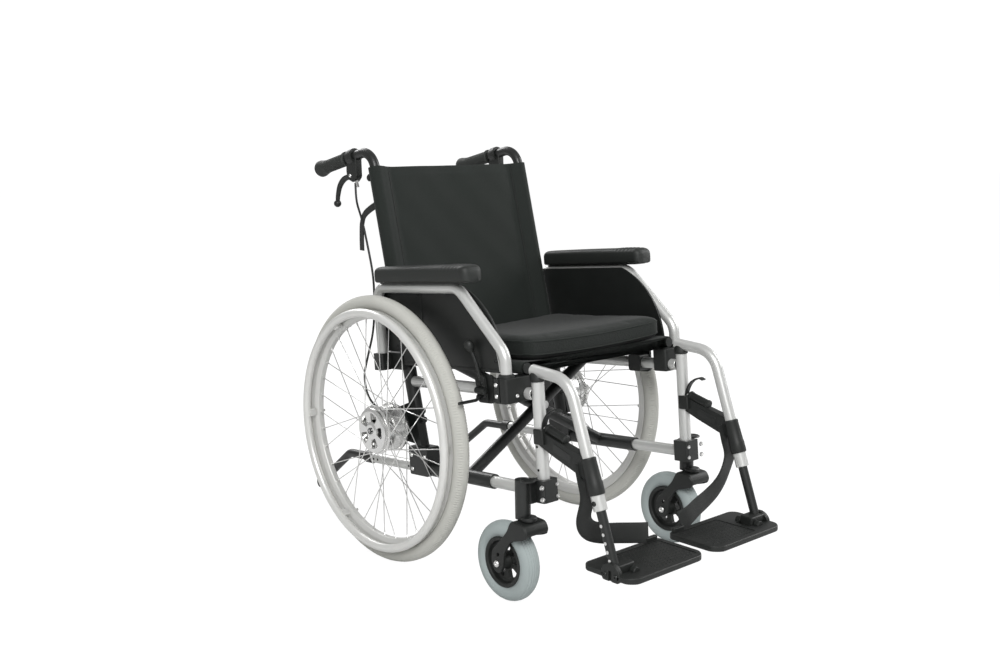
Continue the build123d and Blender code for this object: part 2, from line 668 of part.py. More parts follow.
with BuildPart() as armrest_pad:
    with BuildSketch(FRAME.offset(ARM_N + ARM_R)):
        with Locations((-ARM_X - 2, (PAD_FRONT_A + PAD_REAR_A) / 2)):
            RectangleRounded(PAD_W, PAD_REAR_A - PAD_FRONT_A, 16)
    extrude(amount=PAD_T)
    fillet(armrest_pad.faces().sort_by(Axis(FRAME.origin, FRAME.z_dir))[-1].edges(), 9)
save_pair(armrest_pad.part, "armrest_pad")

PANEL_X = ARM_X - ARM_R - RUNNING
PANEL_T = 5.0
PANEL_LOW_N = SEAT_N - 10
PANEL_STEP_N = REAR_LEG_FOOT_N + 27  # the panel steps over the rear socket
with BuildPart() as side_panel:
    with BuildSketch(side_plane(-PANEL_X, FRAME)):
        with BuildLine():
            Polyline((-62, PANEL_STEP_N), (20, PANEL_STEP_N), (20, ARM_N - 20), (4, ARM_N + 4), (-285, ARM_N + 4))
            ThreePointArc((-285, ARM_N + 4), (-372, 560), (-408, PANEL_LOW_N + 12))
            Polyline((-408, PANEL_LOW_N + 12), (-400, PANEL_LOW_N), (-62, PANEL_LOW_N), (-62, PANEL_STEP_N))
        make_face()
    extrude(amount=PANEL_T)
save_pair(side_panel.part, "side_panel")

# ---- Parking brake ----------------------------------------------------------------------
BRAKE_PIVOT = (-322.0, 432.0)
BRAKE_X = FRAME_X + 24
with BuildPart() as parking_brake:
    # clamp on the upper tube
    with BuildSketch(side_plane(RIGHT - 20, FRAME)):
        with Locations((-345, UPPER_N)):
            RectangleRounded(36, 38, 6)
    extrude(amount=36)
    upper = [(RIGHT, -400, UPPER_N), (RIGHT, -250, UPPER_N)]
    tube(upper, 0, FRAME_R + 0.1, mode=Mode.SUBTRACT)
    with BuildSketch(side_plane(-BRAKE_X, FRAME)):
        with Locations((-338, 410)):
            RectangleRounded(52, 60, 10)
    extrude(amount=BRAKE_X + RIGHT - 18)
    pivot = FRAME.from_local_coords((0, BRAKE_PIVOT[0] - 12, BRAKE_PIVOT[1] - 10))
    ring(-BRAKE_X - 12, -BRAKE_X, 4, 0, (pivot.Y - AXLE_Y, pivot.Z))
save_pair(parking_brake.part, "parking_brake")

brake_pin = (pivot.Y - AXLE_Y, pivot.Z)
LEVER_X = BRAKE_X + 0.5
with BuildPart() as parking_lever:
    with BuildSketch(side_plane(-LEVER_X - 7)):
        with Locations(brake_pin):
            Circle(13)
            Circle(4.1, mode=Mode.SUBTRACT)
    extrude(amount=7)
    knob_at = (brake_pin[0] + 22, brake_pin[1] + 78)
    handle = [
        (-LEVER_X - 3.5, brake_pin[0] + 3, brake_pin[1] + 11),
        (-LEVER_X - 9, brake_pin[0] + 8, brake_pin[1] + 40),
        (-LEVER_X - 16, knob_at[0], knob_at[1]),
    ]
    tube(handle, 30, 3.5, LEVEL)
    with Locations(Plane(LEVEL.from_local_coords((-LEVER_X - 16, knob_at[0], knob_at[1])))):
        Sphere(11)
    shoe = [
        (-LEVER_X - 3.5, brake_pin[0] + 4, brake_pin[1] - 10),
        (-LEVER_X - 3.5, brake_pin[0] + 2, brake_pin[1] - 26),
        (-LEVER_X - 18, brake_pin[0] + 2, brake_pin[1] - 34),
        (-WHEEL_X - 12, brake_pin[0] + 2, brake_pin[1] - 34),
    ]
    tube(shoe, 6, 3.5, LEVEL)
save_pair(parking_lever.part, "parking_lever")

# ---- Anti-tipper -------------------------------------------------------------------------
TIPPER_R = FRAME_R - WALL - RUNNING
TIPPER_WHEEL_R = 28.0
TIPPER_WHEEL = (REAR_REACH - TIPPER_WHEEL_R, 85.0)
TIPPER_X = FRAME_X - 23
stem = [FRAME.from_local_coords((RIGHT, a, LOWER_N)) for a in (60, 230)]
stem = [(p.X, p.Y - AXLE_Y, p.Z) for p in stem]
with BuildPart() as anti_tipper:
    tube([*stem, (RIGHT, TIPPER_WHEEL[0] + 4, TIPPER_WHEEL[1])], 40, TIPPER_R, LEVEL)
    # collar that stops against the frame tube
    collar = [(RIGHT, LOWER_REAR_A + 0.3, LOWER_N), (RIGHT, LOWER_REAR_A + 24, LOWER_N)]
    tube(collar, 0, FRAME_R + 2.5)
    ring(RIGHT - 5, -TIPPER_X + 12, 5, 0, TIPPER_WHEEL)
    ring(RIGHT - 10, -TIPPER_X - 10.5, 13, 0, TIPPER_WHEEL)
save_pair(anti_tipper.part, "anti_tipper")

with BuildPart() as tipper_wheel:
    ring(-TIPPER_X - 10, -TIPPER_X + 10, TIPPER_WHEEL_R, 5.1, TIPPER_WHEEL)
    fillet(tipper_wheel.edges().filter_by(GeomType.CIRCLE).sort_by(SortBy.RADIUS)[-2:], 5)
save_pair(tipper_wheel.part, "anti_tipper_wheel")

# ---- Folding cross: two braces with their seat rails --------------------------------------
SLEEVE_FRONT_A = -321.0
SLEEVE_REAR_A = -113.0
BRACE_R = 13.0
BRACE_A_A = -235.0  # brace a runs in front of brace b
BRACE_B_A = -205.0
BOLT_R = 5.0


def brace(side, a):
    """One brace: a sleeve on the lower tube, the slanting tube and the seat rail."""
    foot = (side * FRAME_X, a, LOWER_N)
    head = (-side * RAIL_X, a, SEAT_N)
    tube([foot, head], 0, BRACE_R)
    sleeve = [(side * FRAME_X, SLEEVE_FRONT_A, LOWER_N), (side * FRAME_X, SLEEVE_REAR_A, LOWER_N)]
    tube(sleeve, 0, 16)
    rail = [(-side * RAIL_X, RAIL_FRONT_A, SEAT_N), (-side * RAIL_X, RAIL_REAR_A, SEAT_N)]
    tube(rail, 0, RAIL_R)
    tube(sleeve, 0, FRAME_R + RUNNING, mode=Mode.SUBTRACT)
    middle = (0, a - 20, (LOWER_N + SEAT_N) / 2)
    bolt_hole = [middle, (0, a + 20, (LOWER_N + SEAT_N) / 2)]
    tube(bolt_hole, 0, BOLT_R + 0.08, mode=Mode.SUBTRACT)


with BuildPart() as brace_a:
    brace(-1, BRACE_A_A)
save(brace_a.part, "brace_a")

with BuildPart() as brace_b:
    brace(1, BRACE_B_A)
save(brace_b.part, "brace_b")

with BuildPart() as brace_bolt:
    bolt_n = (LOWER_N + SEAT_N) / 2
    tube([(0, BRACE_A_A - 18, bolt_n), (0, BRACE_B_A + 18, bolt_n)], 0, BOLT_R)
    tube([(0, BRACE_A_A - 20, bolt_n), (0, BRACE_A_A - 13.3, bolt_n)], 0, 9)
    tube([(0, BRACE_B_A + 13.3, bolt_n), (0, BRACE_B_A + 20, bolt_n)], 0, 9)
save(brace_bolt.part, "brace_bolt")

# ---- Seat sling, cushion and back upholstery ------------------------------------------------
SLING_T = 3.0
SLING_FRONT_A = -440.0
SLING_REAR_A = -72.0
CUSHION_T = 50.0
CUSHION_X = FRAME_X - 6
with BuildPart() as seat_sling:
    sling_face = Plane(
        FRAME.from_local_coords((0, SLING_FRONT_A, 0)), x_dir=(1, 0, 0), z_dir=-FRAME.y_dir
    )
    with BuildSketch(sling_face):
        with Locations((0, SEAT_N + RAIL_R + RUNNING + SLING_T / 2)):
            Rectangle(2 * RAIL_X, SLING_T)
    extrude(amount=SLING_FRONT_A - SLING_REAR_A)
save(seat_sling.part, "seat_sling")

with BuildPart() as cushion:
    with BuildSketch(FRAME.offset(SEAT_N + RAIL_R + RUNNING + SLING_T)):
        with Locations((0, (SLING_FRONT_A + SLING_REAR_A) / 2)):
            RectangleRounded(2 * CUSHION_X, SLING_REAR_A - SLING_FRONT_A, 20)
    extrude(amount=CUSHION_T)
save(cushion.part, "cushion")

BACK_LOW_N = SEAT_N + 20
BACK_SLEEVE_R = 15.0
back_low = FRAME.from_local_coords((0, back_a(BACK_LOW_N), BACK_LOW_N))
back_up = Vector(0, sin(radians(TILT + BACK_LEAN)), cos(radians(TILT + BACK_LEAN)))
BACK = Plane(back_low, x_dir=(1, 0, 0), z_dir=back_up)
with BuildPart() as back_upholstery:
    with BuildSketch(BACK):
        Rectangle(2 * FRAME_X, 9)
        with Locations((-FRAME_X, 0), (FRAME_X, 0)):
            Circle(BACK_SLEEVE_R)
        with Locations((-FRAME_X, 0), (FRAME_X, 0)):
            Circle(CANE_R + RUNNING, mode=Mode.SUBTRACT)
    extrude(amount=(BACK_TOP_N - BACK_LOW_N) / cos(radians(BACK_LEAN)))
save(back_upholstery.part, "back_upholstery")
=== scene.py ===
"""Looks of a folding manual wheelchair, built around its packed frame.

The mesh code works in millimetres and each piece is scaled to metres as it is made. Pieces
are drawn for the rider's right-hand side (-X) and mirrored for the left.
"""

import json
from math import atan2, cos, exp, pi, radians, sin, sqrt, tan

import bmesh
import bpy
from mathutils import Matrix, Vector
from mathutils.bvhtree import BVHTree


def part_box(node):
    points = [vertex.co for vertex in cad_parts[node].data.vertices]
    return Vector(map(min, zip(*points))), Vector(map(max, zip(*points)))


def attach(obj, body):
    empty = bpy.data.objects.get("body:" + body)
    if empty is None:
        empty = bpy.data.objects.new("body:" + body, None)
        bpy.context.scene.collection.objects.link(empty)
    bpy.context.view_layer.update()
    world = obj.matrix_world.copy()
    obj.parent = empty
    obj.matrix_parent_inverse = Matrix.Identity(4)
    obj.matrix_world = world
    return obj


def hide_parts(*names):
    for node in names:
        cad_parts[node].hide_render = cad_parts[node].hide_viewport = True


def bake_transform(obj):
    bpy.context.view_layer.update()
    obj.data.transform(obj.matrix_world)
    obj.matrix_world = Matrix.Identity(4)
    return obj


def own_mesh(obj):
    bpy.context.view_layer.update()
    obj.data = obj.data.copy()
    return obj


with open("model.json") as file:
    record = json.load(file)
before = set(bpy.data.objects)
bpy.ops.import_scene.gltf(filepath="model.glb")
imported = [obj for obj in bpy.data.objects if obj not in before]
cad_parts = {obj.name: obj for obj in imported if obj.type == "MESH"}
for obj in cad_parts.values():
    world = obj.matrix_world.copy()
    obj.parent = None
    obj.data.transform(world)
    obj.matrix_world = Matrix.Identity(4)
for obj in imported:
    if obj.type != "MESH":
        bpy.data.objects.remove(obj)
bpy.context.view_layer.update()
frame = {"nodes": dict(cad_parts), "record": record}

bl_info = {
    "name": "Manual wheelchair looks",
    "version": (1, 0, 0),
    "blender": (4, 5, 0),
    "location": "View3D > Sidebar > Wheelchair",
    "description": "Builds the detailed pieces, finishes and studio of a folding wheelchair",
    "category": "Object",
}

MM = 0.001
TILT = radians(4.3)  # the frame's front is raised by this much
BACK_LEAN = radians(9.3)  # the back leans this much more than the frame
LEG_LEAN = radians(19.1)  # the lower legrest leans forward by this much
GRIP_SLOPE = radians(11.5)  # the push handles drop this much towards the rear
X_AXIS, Y_AXIS, Z_AXIS = Vector((1, 0, 0)), Vector((0, 1, 0)), Vector((0, 0, 1))


def centre_and_size(node):
    """Middle and size of a CAD node, in millimetres."""
    low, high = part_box(node)
    return (low + high) / 2 / MM, (high - low) / MM


TYRE_MIDDLE, TYRE_SIZE = centre_and_size("right_rear_tyre")
CASTOR_MIDDLE, CASTOR_SIZE = centre_and_size("right_castor_tyre")
HUB_MIDDLE, HUB_SIZE = centre_and_size("right_rear_hub")
HANDRIM_MIDDLE, HANDRIM_SIZE = centre_and_size("right_handrim")
AXLE_Y, WHEEL_R = TYRE_MIDDLE.y, TYRE_SIZE.z / 2
FRAME_X = -(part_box("right_back_tube")[0].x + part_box("right_back_tube")[1].x) / 2 / MM
RIGHT = -FRAME_X


# ---- Places ----------------------------------------------------------------------------------
def at(x, y, z):
    """A point with y measured back from the rear axle."""
    return Vector((x, AXLE_Y + y, z))


def tilted(x, a, n):
    """A point in the tilted frame: a runs back along the frame, n is square to it."""
    return at(x, a * cos(TILT) + n * sin(TILT), n * cos(TILT) - a * sin(TILT))


def back_a(n):
    """How far behind the axle the back tube's line is, at height n."""
    return 31.3 - (897 - n) * tan(BACK_LEAN)


def leg_y(z):
    """Where the lower legrest's line is at height z."""
    return -581.5 - (334.7 - z) * tan(LEG_LEAN)


HANDLE = tilted(RIGHT, back_a(938), 938)  # corner of the back tube
HANDLE_BACK = Vector((0, cos(GRIP_SLOPE), -sin(GRIP_SLOPE)))


def handle(y, z, x=0.0):
    """A point measured from the corner of the back tube."""
    return HANDLE + Vector((x, y, z))


# ---- Shapes: each is (points, faces) --------------------------------------------------------
def join(*shapes):
    """Put several shapes in one mesh."""
    points, faces = [], []
    for more, sides in shapes:
        first = len(points)
        points += more
        faces += [tuple(i + first for i in side) for side in sides]
    return points, faces


def rounded(points, radius, steps=4):
    """Round the corners of a closed 2D outline."""
    out = []
    for before, here, after in zip([points[-1], *points], points, [*points[1:], points[0]]):
        here, back, on = Vector(here), Vector(before) - Vector(here), Vector(after) - Vector(here)
        cut = min(radius, 0.45 * back.length, 0.45 * on.length)
        start, end = here + back.normalized() * cut, here + on.normalized() * cut
        for k in range(steps + 1):
            t = k / steps
            out.append(tuple(start * (1 - t) ** 2 + here * 2 * t * (1 - t) + end * t * t))
    return out


def skin(rings, closed, capped):
    """Faces between rings of equally many points."""
    count, faces = len(rings[0]), []
    for i in range(len(rings) - (0 if closed else 1)):
        a, b = i * count, (i + 1) % len(rings) * count
        faces += [(a + k, a + (k + 1) % count, b + (k + 1) % count, b + k) for k in range(count)]
    if capped:
        last = (len(rings) - 1) * count
        faces += [tuple(reversed(range(count))), tuple(range(last, last + count))]
    return [p for ring in rings for p in ring], faces


def lathe(origin, axis, profile, steps=64, ripple=None):
    """Turn a closed profile of (along, radius) about an axis."""
    axis = Vector(axis).normalized()
    side = axis.orthogonal().normalized()
    other = axis.cross(side)
    rings = []
    for k in range(steps):
        turn = 2 * pi * k / steps
        out = side * cos(turn) + other * sin(turn)
        rings.append(
            [origin + axis * t + out * (r + (ripple(k, t, r) if ripple else 0)) for t, r in profile]
        )
    return skin(rings, True, False)


def turned(origin, axis, profile, steps=32):
    """Turn an open profile of (along, radius) and close its two ends."""
    axis = Vector(axis).normalized()
    side = axis.orthogonal().normalized()
    other = axis.cross(side)
    turns = [2 * pi * k / steps for k in range(steps)]
    rings = [
        [origin + axis * t + (side * cos(a) + other * sin(a)) * max(r, 0.05) for a in turns]
        for t, r in profile
    ]
    return skin(rings, False, True)


def bent(points, radius, step=radians(9)):
    """Straight runs joined by arcs."""
    radii = radius if isinstance(radius, (list, tuple)) else [radius] * (len(points) - 2)
    out = [points[0]]
    for before, here, after, r in zip(points, points[1:], points[2:], radii):
        back, on = (before - here).normalized(), (after - here).normalized()
        half = back.angle(on) / 2
        centre = here + (back + on).normalized() * r / sin(half)
        start, end = here + back * r / tan(half), here + on * r / tan(half)
        turn = pi - 2 * half
        count = max(2, round(turn / step))
        axis = (start - centre).cross(end - centre).normalized()
        out += [
            centre + Matrix.Rotation(turn * k / count, 3, axis) @ (start - centre)
            for k in range(count + 1)
        ]
    return [*out, points[-1]]


def eased(points, per=8):
    """A smooth curve through points."""
    out = []
    ends = [2 * points[0] - points[1], *points, 2 * points[-1] - points[-2]]
    for a, b, c, d in zip(ends, ends[1:], ends[2:], ends[3:]):
        for k in range(per):
            t = k / per
            out.append(
                (2 * b + (c - a) * t + (2 * a - 5 * b + 4 * c - d) * t**2
                 + (3 * b - a - 3 * c + d) * t**3) / 2
            )
    return [*out, points[-1]]


def directions(path):
    """The direction of a path at each of its points."""
    ends = [path[0], *path, path[-1]]
    return [(c - a).normalized() for a, c in zip(ends, ends[2:])]


def sweep(path, radius, steps=20, stretch=1.0):
    """A round bar along a path; radius may be a function of the share of the way."""
    ways = directions(path)
    across = ways[0].orthogonal().normalized()
    rings = []
    for i, (place, way) in enumerate(zip(path, ways)):
        across = (across - way * across.dot(way)).normalized()
        up = way.cross(across)
        r = radius(i / (len(path) - 1)) if callable(radius) else radius
        turns = [2 * pi * k / steps for k in range(steps)]
        rings.append([place + (across * cos(t) * stretch + up * sin(t)) * r for t in turns])
    return skin(rings, False, True)


def pipe(start, end, outer, inner, steps=36):
    """A straight tube with an open bore."""
    length = (end - start).length
    wall = [(0, outer - 0.6), (0.6, outer), (length - 0.6, outer), (length, outer - 0.6)]
    return lathe(start, end - start, [*wall, (length, inner), (0, inner)], steps)


def strap(path, face, width, thick, edge=0.25):
    """Webbing along a path, lying square to the direction called face."""
    rings = []
    for i, (place, way) in enumerate(zip(path, directions(path))):
        normal = face(i / (len(path) - 1)) if callable(face) else face
        across = way.cross(normal).normalized()
        out = across.cross(way)
        half = [(-1, 0), (-1 + edge, 1), (-0.5, 1), (0, 1), (0.5, 1), (1 - edge, 1), (1, 0)]
        loop = [*half, *[(u, -v) for u, v in reversed(half[1:-1])]]
        rings.append([place + across * u * width / 2 + out * v * thick / 2 for u, v in loop])
    return skin(rings, False, True)


def slab(outline, place, depth, bevel=1.5):
    """A flat outline given a depth, with its edges rounded. place maps (u, v, w) to a point."""
    mesh = bmesh.new()
    low = [mesh.verts.new(place(u, v, 0)) for u, v in outline]
    high = [mesh.verts.new(place(u, v, depth)) for u, v in outline]
    mesh.faces.new(low)
    mesh.faces.new(reversed(high))
    count = len(outline)
    for k in range(count):
        after = (k + 1) % count
        mesh.faces.new((low[after], low[k], high[k], high[after]))
    bmesh.ops.recalc_face_normals(mesh, faces=mesh.faces)
    if bevel:
        sharp = [e for e in mesh.edges if e.calc_face_angle(0) > radians(50)]
        bmesh.ops.bevel(mesh, geom=sharp, offset=bevel, segments=3, profile=0.6, affect="EDGES",
                        clamp_overlap=True)
    mesh.verts.index_update()
    shape = [v.co.copy() for v in mesh.verts], [tuple(v.index for v in f.verts) for f in mesh.faces]
    mesh.free()
    return shape


def plate(outline, x, depth, bevel=1.5, point=at):
    """A slab that stands in a side plane: the outline is in (y, z), the depth runs along +X."""
    return slab(outline, lambda u, v, w: point(x + w, u, v), depth, bevel)


def block(x, y, z, bevel=2.0, point=at, corner=4.0):
    """A box between pairs of coordinates, with rounded upright corners."""
    outline = rounded([(x[0], y[0]), (x[1], y[0]), (x[1], y[1]), (x[0], y[1])], corner)
    return slab(outline, lambda u, v, w: point(u, v, z[0] + w), z[1] - z[0], bevel)


def bolt(origin, axis, radius=4.5, head=3.0):
    """A button head with a socket in it."""
    profile = [(0, radius), (head * 0.4, radius), (head * 0.85, radius * 0.82), (head, radius * 0.6)]
    socket = [(head, radius * 0.42), (head * 0.45, radius * 0.4), (head * 0.45, 0)]
    return turned(origin, axis, profile + socket, 20)


def temporary(shape):
    """A plain object for a modifier to work on."""
    mesh = bpy.data.meshes.new("temporary")
    mesh.from_pydata([tuple(p) for p in shape[0]], [], shape[1])
    mesh.validate()
    made = bpy.data.objects.new("temporary", mesh)
    bpy.context.scene.collection.objects.link(made)
    return made


def taken(obj):
    """The shape of an object after its modifiers; the object is removed."""
    graph = bpy.context.evaluated_depsgraph_get()
    mesh = bpy.data.meshes.new_from_object(obj.evaluated_get(graph))
    shape = [v.co.copy() for v in mesh.vertices], [tuple(p.vertices) for p in mesh.polygons]
    bpy.data.objects.remove(obj)
    bpy.data.meshes.remove(mesh)
    return shape


def facing_out(shape):
    """The shape with every face turned outwards."""
    mesh = bmesh.new()
    points = [mesh.verts.new(p) for p in shape[0]]
    for face in shape[1]:
        mesh.faces.new([points[i] for i in face])
    bmesh.ops.recalc_face_normals(mesh, faces=mesh.faces)
    mesh.verts.index_update()
    out = [v.co.copy() for v in mesh.verts], [tuple(v.index for v in f.verts) for f in mesh.faces]
    mesh.free()
    return out


def carve(shape, *cutters):
    """Cut shapes out of a shape."""
    solid, tool = temporary(facing_out(shape)), temporary(facing_out(join(*cutters)))
    cut = solid.modifiers.new("cut", "BOOLEAN")
    cut.operation, cut.solver, cut.object = "DIFFERENCE", "EXACT", tool
    shape = taken(solid)
    bpy.data.objects.remove(tool)
    return shape


# ---- Pieces ----------------------------------------------------------------------------------
def make(name, shape, finish, body, nodes=(), crease=32):
    """One piece of the chair: its mesh, finish, body and the CAD nodes it stands for."""
    mesh = bpy.data.meshes.new(name)
    mesh.from_pydata([tuple(p * MM) for p in shape[0]], [], shape[1])
    work = bmesh.new()
    work.from_mesh(mesh)
    bmesh.ops.recalc_face_normals(work, faces=work.faces)
    work.to_mesh(mesh)
    work.free()
    mesh.polygons.foreach_set("use_smooth", [True] * len(mesh.polygons))
    mesh.set_sharp_from_angle(angle=radians(crease))
    mesh.materials.append(FINISHES[finish])
    made = bpy.data.objects.new(name, mesh)
    bpy.context.scene.collection.objects.link(made)
    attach(made, body)
    if nodes:
        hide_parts(*nodes)
    return made


def make_pair(name, shape, finish, body, nodes=(), crease=32):
    """The right-hand piece and its mirror image on the left."""
    made = []
    for side, sign in (("right", 1), ("left", -1)):
        points = [Vector((p.x * sign, p.y, p.z)) for p in shape[0]]
        made.append(
            make(f"{side}_{name}", (points, shape[1]), finish, f"{side}_{body}",
                 [f"{side}_{n}" for n in nodes], crease)
        )
    return made


# ---- Finishes --------------------------------------------------------------------------------
class Level:
    """A number that varies over a surface and can be used in sums."""

    def __init__(self, finish, socket):
        self.finish, self.socket = finish, socket

    def math(self, operation, first, second=0.0):
        node = self.finish.node("ShaderNodeMath", {"operation": operation}, {0: first, 1: second})
        return Level(self.finish, node.outputs["Value"])

    def __add__(self, other):
        return self.math("ADD", self, other)

    def __sub__(self, other):
        return self.math("SUBTRACT", self, other)

    def __rsub__(self, other):
        return self.math("SUBTRACT", other, self)

    def __mul__(self, other):
        return self.math("MULTIPLY", self, other)

    def __pow__(self, other):
        return self.math("POWER", self, other)

    __radd__, __rmul__ = __add__, __mul__

    def wave(self):
        return self.math("SINE", self)

    def clamped(self):
        return self.math("MINIMUM", self.math("MAXIMUM", self, 0.0), 1.0)


class Finish:
    """A material whose nodes are made by Python expressions."""

    def __init__(self, name):
        self.material = bpy.data.materials.new(name)
        self.material.use_nodes = True
        self.nodes, self.links = self.material.node_tree.nodes, self.material.node_tree.links
        self.nodes.clear()
        self.shader = self.node("ShaderNodeBsdfPrincipled")
        output = self.node("ShaderNodeOutputMaterial")
        self.links.new(self.shader.outputs["BSDF"], output.inputs["Surface"])
        self.places = self.node("ShaderNodeTexCoord").outputs["Object"]

    def node(self, kind, settings=None, sockets=None):
        """Add one node, with its settings and the values or links of its sockets."""
        node = self.nodes.new(kind)
        for key, value in (settings or {}).items():
            setattr(node, key, value)
        for key, value in (sockets or {}).items():
            source = value.socket if isinstance(value, Level) else value
            if isinstance(source, bpy.types.NodeSocket):
                self.links.new(source, node.inputs[key])
            else:
                node.inputs[key].default_value = source
        return node

    def noise(self, scale, detail=2.0, rough=0.5):
        sockets = {"Vector": self.places, "Scale": scale, "Detail": detail, "Roughness": rough}
        return Level(self, self.node("ShaderNodeTexNoise", {}, sockets).outputs["Fac"])

    def cells(self, scale, feature="F1"):
        sockets = {"Vector": self.places, "Scale": scale}
        node = self.node("ShaderNodeTexVoronoi", {"feature": feature}, sockets)
        return Level(self, node.outputs["Distance"])

    def axes(self):
        node = self.node("ShaderNodeSeparateXYZ", {}, {"Vector": self.places})
        return [Level(self, node.outputs[k]) for k in "XYZ"]

    def weave(self, pitch):
        """Crossing threads, the same on every face, with this pitch in metres."""
        x, y, z = [(axis * (2 * pi / pitch)).wave() for axis in self.axes()]
        return (x * y + y * z + z * x) * 0.33 + 0.5

    def edges(self, low=0.53, high=0.62):
        """How sharp an outside edge is here."""
        point = Level(self, self.node("ShaderNodeNewGeometry").outputs["Pointiness"])
        return ((point - low) * (1 / (high - low))).clamped()

    def mixed(self, share, first, second):
        node = self.node("ShaderNodeMix", {"data_type": "RGBA"}, {0: share, 6: first, 7: second})
        return node.outputs[2]

    def set(self, key, value):
        source = value.socket if isinstance(value, Level) else value
        if isinstance(source, bpy.types.NodeSocket):
            self.links.new(source, self.shader.inputs[key])
        else:
            self.shader.inputs[key].default_value = source

    def relief(self, height, depth, strength=1.0):
        """Raise the surface by a height of 0 to 1 times a depth in metres."""
        sockets = {"Height": height, "Distance": depth, "Strength": strength}
        self.set("Normal", self.node("ShaderNodeBump", {}, sockets).outputs["Normal"])


def shade(colour, factor):
    """A colour made darker or paler by a factor."""
    return tuple(min(1.0, c * factor) for c in colour[:3]) + (1.0,)


def metal(name, colour, metallic, rough, coat=0.0):
    """Lacquered or bare metal with a fine flake, faint smears and brighter edges."""
    finish = Finish(name)
    flake, smear = finish.noise(2600, 1), finish.noise(14, 3)
    body = finish.mixed(smear, shade(colour, 0.94), shade(colour, 1.04))
    finish.set("Base Color", finish.mixed(finish.edges() * 0.35, body, shade(colour, 1.15)))
    finish.set("Metallic", metallic)
    finish.set("Roughness", rough - 0.05 + flake * 0.06 + smear * 0.06)
    finish.set("Coat Weight", coat)
    finish.relief(flake, 0.00002, 0.4)
    return finish.material


def moulded(name, colour, rough, grain=1500.0, depth=0.00006, coat=0.0):
    """Moulded plastic or powder coat with a fine grain and edges rubbed a little paler."""
    finish = Finish(name)
    fine, cloud = finish.noise(grain, 2), finish.noise(22, 3)
    body = finish.mixed(cloud, shade(colour, 0.82), shade(colour, 1.2))
    finish.set("Base Color", finish.mixed(finish.edges() * 0.3, body, shade(colour, 2.4)))
    finish.set("Roughness", rough - 0.06 + cloud * 0.12)
    finish.set("Coat Weight", coat)
    finish.relief(fine, depth, 0.6)
    return finish.material


def rubber(name, colour, rough=0.72, mottle=0.1):
    """Solid rubber with a dusty mottle."""
    finish = Finish(name)
    fine, cloud = finish.noise(900, 3), finish.noise(9, 4, 0.6)
    finish.set("Base Color", finish.mixed(cloud, shade(colour, 1 - mottle), shade(colour, 1 + mottle)))
    finish.set("Roughness", rough + (fine - 0.5) * 0.15)
    finish.relief(fine, 0.00008, 0.5)
    return finish.material


def cloth(name, colour, pitch, depth, sheen=0.08, knit=0.0):
    """Close-woven nylon; knit adds the dimples of a spacer fabric with that many per metre."""
    finish = Finish(name)
    threads, cloud = finish.weave(pitch), finish.noise(11, 4, 0.6)
    height = threads
    if knit:
        height = threads * 0.25 + finish.cells(knit)
    tone = (cloud * 0.7 + height * 0.3).clamped()
    finish.set("Base Color", finish.mixed(tone, shade(colour, 0.72), shade(colour, 1.3)))
    finish.set("Roughness", 0.74 + cloud * 0.14)
    finish.set("Sheen Weight", sheen)
    finish.set("Specular IOR Level", 0.35)
    finish.set("Sheen Roughness", 0.45)
    finish.relief(height, depth, 0.7)
    return finish.material


def webbing(name, colour):
    """Ribbed strap webbing."""
    finish = Finish(name)
    x, y, z = finish.axes()
    ribs = ((x + y + z) * (2 * pi / 0.0024)).wave() * 0.5 + 0.5
    cloud = finish.noise(40, 3)
    finish.set("Base Color", finish.mixed(cloud, shade(colour, 0.8), shade(colour, 1.35)))
    finish.set("Roughness", 0.62 + ribs * 0.12)
    finish.set("Sheen Weight", 0.1)
    finish.relief(ribs, 0.0002, 0.6)
    return finish.material


def floor_paper(name, colour):
    """The studio's pale floor."""
    finish = Finish(name)
    finish.set("Base Color", finish.mixed(finish.noise(1.5, 2), shade(colour, 0.995), shade(colour, 1)))
    finish.set("Roughness", 0.9)
    return finish.material


def seen_white(tree, plain, output, strength, share):
    """Camera rays see mostly plain white; every other ray sees the plain surface."""
    for_world = output.bl_idname.endswith("World")
    glow = tree.nodes.new("ShaderNodeBackground" if for_world else "ShaderNodeEmission")
    glow.inputs["Color"].default_value = (1, 1, 1, 1)
    glow.inputs["Strength"].default_value = strength
    rays, part, mix = (tree.nodes.new(kind) for kind in
                       ("ShaderNodeLightPath", "ShaderNodeMath", "ShaderNodeMixShader"))
    part.operation = "MULTIPLY"
    part.inputs[1].default_value = share
    tree.links.new(rays.outputs["Is Camera Ray"], part.inputs[0])
    tree.links.new(part.outputs[0], mix.inputs[0])
    tree.links.new(plain.outputs[0], mix.inputs[1])
    tree.links.new(glow.outputs[0], mix.inputs[2])
    tree.links.new(mix.outputs[0], output.inputs["Surface"])


FINISHES = {}


